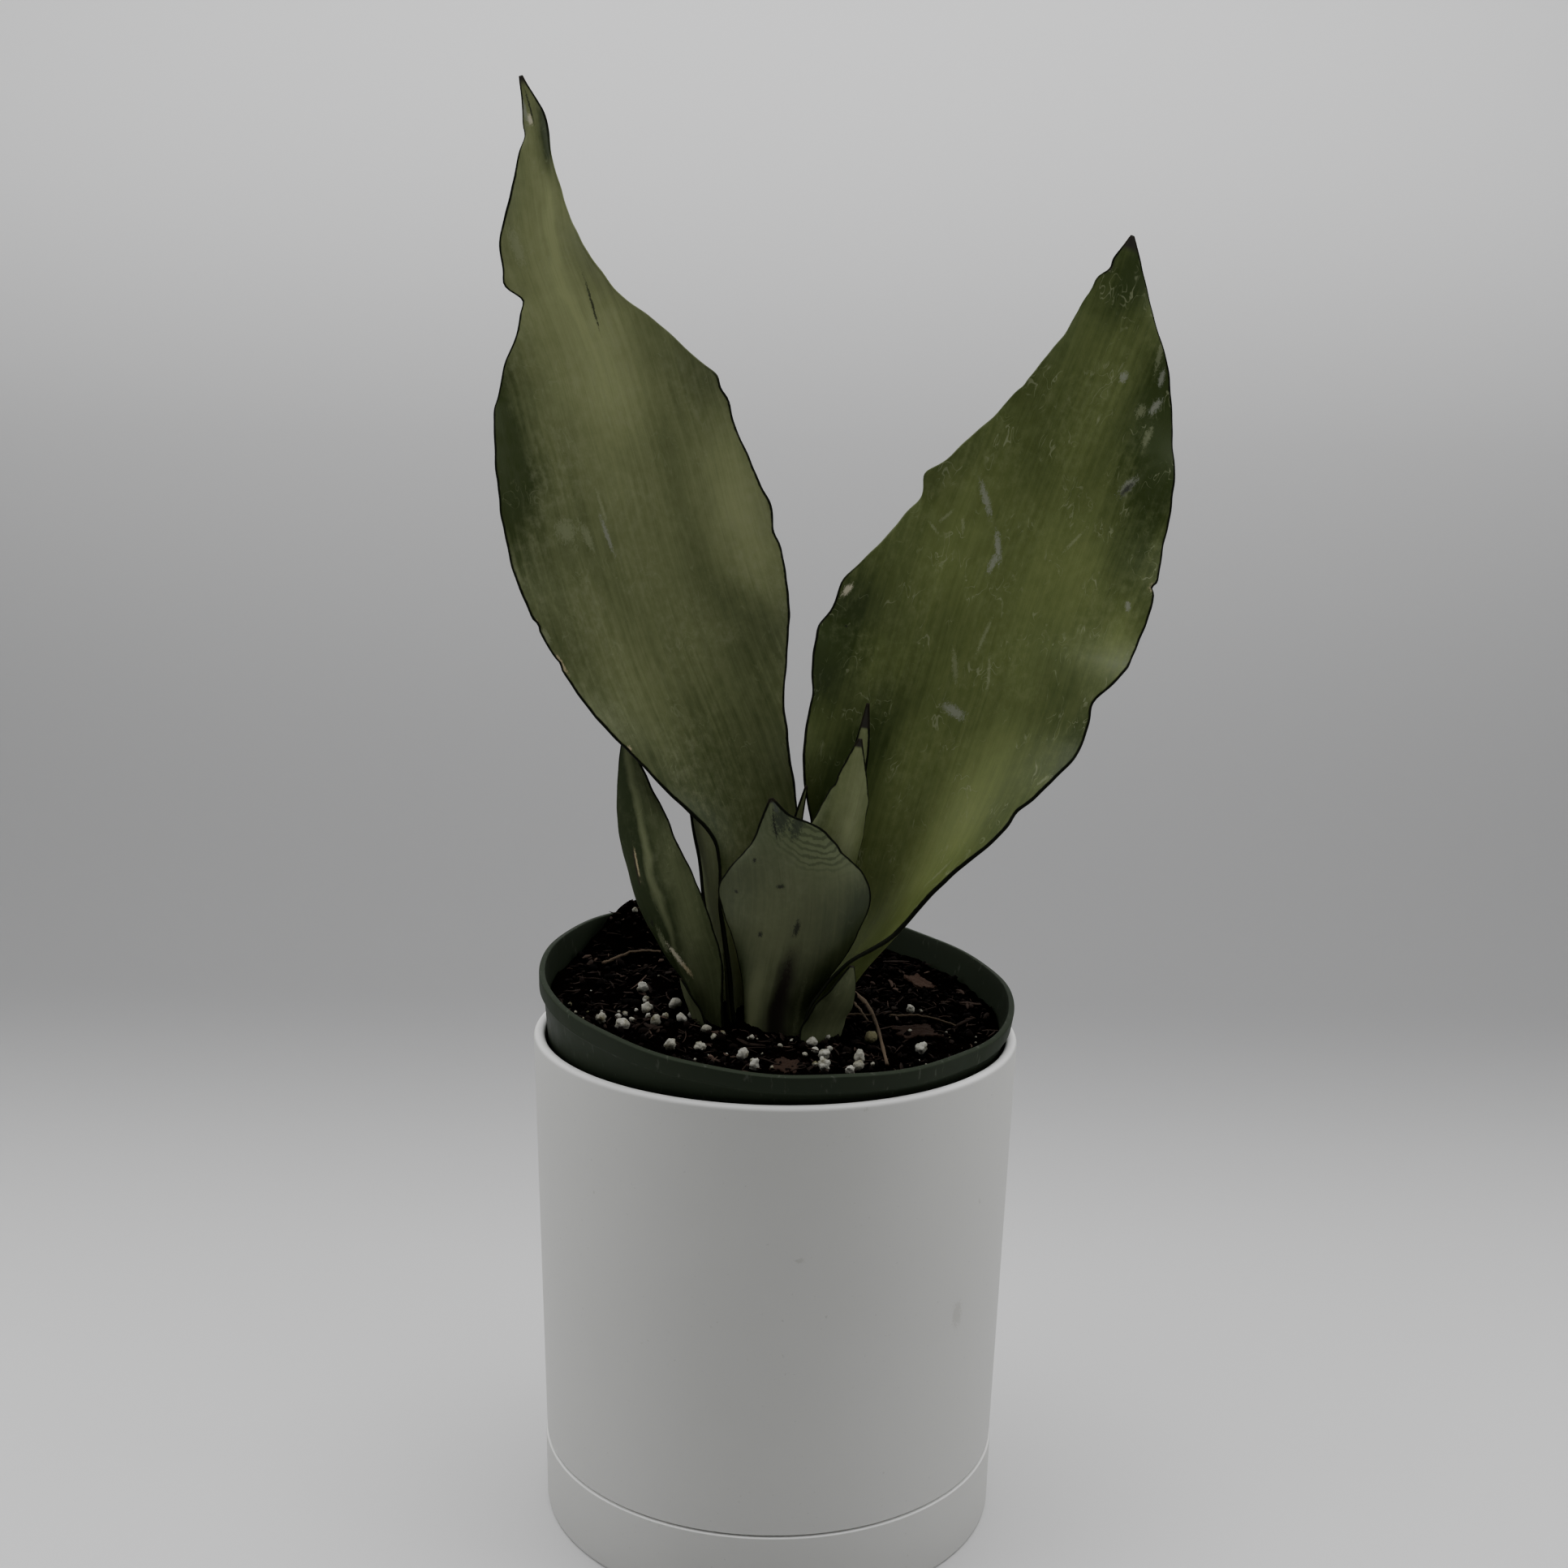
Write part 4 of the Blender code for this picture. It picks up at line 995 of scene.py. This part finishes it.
class Heap:
    """Many loose bits gathered into one mesh, each with its own tint."""

    def __init__(self):
        self.points, self.faces, self.tints = [], [], []
        self.count = 0

    def add(self, points, faces, tint):
        self.faces += [[index + self.count for index in face] for face in faces]
        self.points.append(points)
        self.tints += [(tint, 0, 0)] * len(points)
        self.count += len(points)

    def drop(self, points, faces, tint, x, y, lift):
        """Add a bit that lies on the soil, with its middle at a height over it."""
        self.add(points + np.array((x, y, ground(x, y) + lift)), faces, tint)

    def make(self, name, material, slot, replaced=()):
        points = np.concatenate(self.points)
        placed = points @ np.array(tilt).T + np.array(LINER_CENTRE)
        store(make(name, placed, self.faces, material, replaced), "tint", self.tints)


def grain_shape(draw, size, squash, rough, fine):
    """An irregular grain about the origin, in metres, under a random rotation."""
    points, faces = ball(fine)
    shift = draw.uniform(0, 50, 3)
    swell = [
        1 + rough * 2 * ripple(*(p * 1.3 + shift)) + rough * ripple(*(p * 3.1 + shift))
        for p in points
    ]
    scale = draw.uniform(*squash, 3)
    points = points * np.array(swell)[:, None] * scale * size / 2
    turn = Euler(draw.uniform(0, 2 * math.pi, 3)).to_matrix()
    return points @ np.array(turn).T, faces


def free_spot(draw):
    """A random place on the soil, clear of the plant's crown."""
    while True:
        x, y = draw.uniform(-1, 1, 2) * SOIL_EDGE
        if math.hypot(x, y) > SOIL_EDGE - 1 * MM:
            continue
        if math.hypot((x / MM + 1) / 18, (y / MM + 10) / 11) >= 1:
            return x, y


def build_crumbs():
    draw = rng(7)
    crumbs = Heap()
    for _ in range(CRUMBS):
        x, y = free_spot(draw)
        size = draw.choice([0.8, 1.2, 1.7, 2.4], p=[0.4, 0.3, 0.2, 0.1]) * MM
        bit = grain_shape(draw, size, (0.55, 1.1), 0.3, 1)
        crumbs.drop(*bit, draw.uniform(0, 1) ** 2, x, y, 0.2 * size)
    dark, pale = (0.0002, 0.00015, 0.00012), (0.008, 0.005, 0.004)
    crumbs.make("soil_crumbs", litter_look("peat_crumbs", dark, pale, 1, 0.25 * MM), "soil")


def strip(draw, length, width, thickness, bend):
    """A bent flat shred along X, about the origin."""
    steps = 7
    points = []
    for i in range(steps + 1):
        t = i / steps
        taper = 0.35 + 0.65 * math.sin(math.pi * min(max(t, 0.08), 0.92))
        side = bend * length * math.sin(math.pi * t)
        lift = 0.3 * bend * length * math.sin(2.2 * math.pi * t)
        w, h = width * taper / 2, thickness * taper / 2
        for a, b in ((-1, -1), (1, -1), (1, 1), (-1, 1)):
            points.append(((t - 0.5) * length, side + a * w, lift + b * h))
    return np.array(points), skin(steps + 1, 4)


def build_shreds():
    draw = rng(11)
    shreds = Heap()
    for _ in range(SHREDS):
        x, y = free_spot(draw)
        length = draw.choice([1.5, 2.5, 4, 7], p=[0.35, 0.35, 0.22, 0.08]) * MM
        width = draw.choice([0.2, 0.4, 0.8, 1.3], p=[0.4, 0.35, 0.18, 0.07]) * MM
        points, faces = strip(draw, length, width, 0.3 * MM, draw.uniform(-0.12, 0.12))
        turn = [draw.uniform(*span) for span in ((-0.6, 0.6), (-0.35, 0.35), (0, 6.28))]
        points = points @ np.array(Euler(turn).to_matrix()).T
        shreds.drop(points, faces, draw.uniform(0, 1) ** 6, x, y, 0.5 * MM)
    dark, pale = (0.0026, 0.0016, 0.0013), (0.075, 0.05, 0.038)
    shreds.make("soil_shreds", litter_look("bark_shreds", dark, pale, 0.8, 0.15 * MM), "bark")


def perlite_look():
    """White porous grains, with grime that grows with a grain's tint."""
    look = Look("perlite_skin", 0.9, 0.3)
    place = look.object_place()
    pore = look.add("TexVoronoi", "Distance", Vector=place, Scale=1500)
    grime = look.grain(place, 450, 4, 0.7)
    tint = look.axis(look.stored("tint"), "X")
    dirt = look.plus(look.step(grime, 0.44, 0.76), look.times(tint, 0.55), clamp=True)
    look.bump(pore, 0.25 * MM, 0.7)
    look.bump(grime, 0.3 * MM, 0.6)
    return look.finish(look.mix(dirt, (0.33, 0.325, 0.285), (0.105, 0.096, 0.048)))


# Small grains: millimetres to the right, to the back and across. The last number is a stain.
PERLITE_FINES = [
    (-24, -12, 3.2, 0), (-22, -18, 2.6, 0), (-28, -21, 2.8, 0), (-16, -21, 2.4, 0),
    (12, -17, 3, 0), (9, -24, 2.6, 0), (23, -19, 3.6, 2), (19.5, -36, 3, 0),
    (-30, -17, 1.6, 0), (-37, -18, 1.5, 0), (-20, -14, 2, 0), (-26, -17, 1.8, 0),
    (-14, -25, 1.6, 0), (13, -27, 1.8, 0), (-12, -22, 1.5, 0),
]  # fmt: skip


def build_perlite():
    draw = rng(5)
    look = perlite_look()
    for i in range(1, 15):
        name = f"perlite_{i:02d}"
        low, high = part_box(name)
        size = 0.92 * (high.x - low.x + high.y - low.y) / 2
        points, faces = grain_shape(draw, size, (0.72, 1.05), 0.24, 3)
        middle = (low + high) / 2
        middle.z = low.z + 0.42 * size
        piece = make(name + "_grain", points + np.array(middle), faces, look, (name,))
        store(piece, "tint", [(draw.uniform(0, 0.6), 0, 0)] * len(points))
    spots = list(PERLITE_FINES)
    for _ in range(PERLITE_TRIES):
        x, y = free_spot(draw)
        if draw.uniform() < 0.88 and y > -8 * MM:
            continue
        spots.append((x / MM, y / MM, 0.5 + 1.3 * draw.uniform() ** 2, 0))
    more = Heap()
    for x, y, size, stain in spots:
        bit = grain_shape(draw, size * MM, (0.75, 1.05), 0.2, 2)
        tint = draw.uniform(0, 0.8) + stain
        more.drop(*bit, tint, x * MM, y * MM, 0.35 * size * MM)
    more.make("perlite_fines", look, "perlite")


def bark_chip(i, half):
    """A curved slab of bark with ragged sides and layers, about the origin, in its own axes."""
    columns, rows = 26, 18
    top = []
    for r in range(rows + 1):
        for c in range(columns + 1):
            u, v = 2 * c / columns - 1, 2 * r / rows - 1
            ragged = 0.86 + 0.42 * ripple(1.9 * u, 1.9 * v, i) + 0.16 * ripple(7 * u, 7 * v, i)
            layer = 0.55 * half[2] * ripple(1.5 * u, 8 * v, 5 + i)
            curve = 0.5 * half[2] * (u * u - 0.4)
            top.append((u * half[0] * ragged, v * half[1] * ragged, curve + layer))
    thick = 0.45 * half[2]
    points = np.concatenate([np.array(top) + (0, 0, thick), np.array(top) - (0, 0, thick)])
    n, w = len(top), columns + 1
    faces = []
    for r in range(rows):
        for c in range(columns):
            a, b, d, e = r * w + c, r * w + c + 1, (r + 1) * w + c + 1, (r + 1) * w + c
            faces.append([a, b, d, e])
            faces.append([n + e, n + d, n + b, n + a])
    rim = list(range(w)) + [r * w + columns for r in range(1, rows + 1)]
    rim += [rows * w + c for c in reversed(range(columns))]
    rim += [r * w for r in reversed(range(1, rows))]
    for a, b in zip(rim, rim[1:] + rim[:1]):
        faces.append([a, n + a, n + b, b])
    return points, faces


def build_chips():
    """The bark chips, each laid along the longest axes of its solid in the frame."""
    draw = rng(3)
    dark, pale = (0.008, 0.005, 0.0038), (0.052, 0.031, 0.022)
    look = litter_look("bark_skin", dark, pale, 0.85, 0.5 * MM)
    for i in range(1, 4):
        name = f"bark_chip_{i}"
        corners = np.array([v.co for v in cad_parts[name].data.vertices])
        centre = corners.mean(axis=0)
        axes = np.linalg.svd(corners - centre, full_matrices=False)[2]
        if np.linalg.det(axes) < 0:
            axes[2] *= -1
        points, faces = bark_chip(i, np.abs((corners - centre) @ axes.T).max(axis=0))
        piece = make(name + "_bark", points @ axes + centre, faces, look, (name,))
        store(piece, "tint", [(draw.uniform(0.2, 0.9), 0, 0)] * len(points))


def tube(path, radii, sides=8):
    """Points and faces of a tube along a path."""
    path = np.asarray(path, float)
    along = unit(np.gradient(path, axis=0))
    side = unit(np.cross(along, (0.1, 0.2, 1)))
    up = np.cross(side, along)
    turns = 2 * math.pi * np.arange(sides) / sides
    points = np.concatenate([
        p + r * (np.outer(np.cos(turns), s) + np.outer(np.sin(turns), u))
        for p, r, s, u in zip(path, radii, side, up)
    ])
    return points, skin(len(path), sides, flip=True)


# Dry stems on the soil: millimetres to the right and back along each, and its radius. The first
# is the twig.
STEMS = (
    ([(16.4, 17.6), (22.4, 4.8), (24.7, -11.5), (26.2, -33.5)], 0.62),
    ([(14.5, 12), (19.5, 3.5), (22.5, -8)], 0.42),
    ([(-44, 14), (-38, 19), (-30, 21)], 0.45),
    ([(12.5, -9.5), (18, -5), (24, -4)], 0.4),
    ([(28, -3), (36, -1.5), (44, -6)], 0.35),
)
STEM_STEPS = 36
HAIR_STEPS = 9


def build_twigs():
    """The dry stems, and fine roots that stick out of the heap at the back left."""
    draw = rng(21)
    dark, pale = (0.028, 0.019, 0.013), (0.1, 0.074, 0.05)
    look = litter_look("dry_stem_skin", dark, pale, 0.85, 0.15 * MM)
    thinning = 1 - 0.35 * np.linspace(0, 1, STEM_STEPS)
    knobs = 1 + 0.12 * np.sin(np.arange(STEM_STEPS) * 1.3)
    stems = Heap()
    for route, radius in STEMS:
        knots = np.arange(len(route), dtype=float)
        line = through(knots, np.array(route), np.linspace(0, knots[-1], STEM_STEPS)) * MM
        path = []
        for step, (x, y) in enumerate(line):
            wander = 0.35 * ripple(step * 0.3, radius * 9, 0)
            path.append((x, y, soil_top(x, y) + (1.1 + wander) * MM))
        stems.add(*tube(path, radius * MM * thinning * knobs), draw.uniform(0.35, 0.9))
    stems.make("dry_stems", look, "dry_stem", ("twig",))
    hairs = Heap()
    for _ in range(ROOT_TRIES):
        x = draw.normal(-0.66 * SOIL_EDGE, 6 * MM)
        y = draw.normal(0.66 * SOIL_EDGE, 5 * MM)
        if math.hypot(x, y) > SOIL_EDGE - 2 * MM:
            continue
        heading, lean = draw.uniform(0, 2 * math.pi), draw.uniform(0.4, 1.1)
        length = draw.uniform(2.5, 6.5) * MM
        root = np.array((x, y, ground(x, y) - 0.5 * MM))
        out = np.array(polar(math.sin(lean), heading, math.cos(lean)))
        bow = np.cross(out, (0, 0, 1)) * draw.uniform(-0.35, 0.35)
        path = []
        for t in np.linspace(0, 1, HAIR_STEPS):
            sag = np.array((0, 0, 0.35 * length * t * t))
            path.append(root + out * length * t + bow * length * math.sin(2.6 * t) - sag)
        radii = np.linspace(0.11, 0.06, HAIR_STEPS) * MM
        hairs.add(*tube(path, radii, 5), draw.uniform(0, 0.5))
    hairs.make("root_hairs", look, "dry_stem")


# -------- the scene


aim_camera()
set_stage()
build_pots()
build_liner()
build_soil()
build_crumbs()
build_shreds()
build_perlite()
build_chips()
build_twigs()
build_leaves()
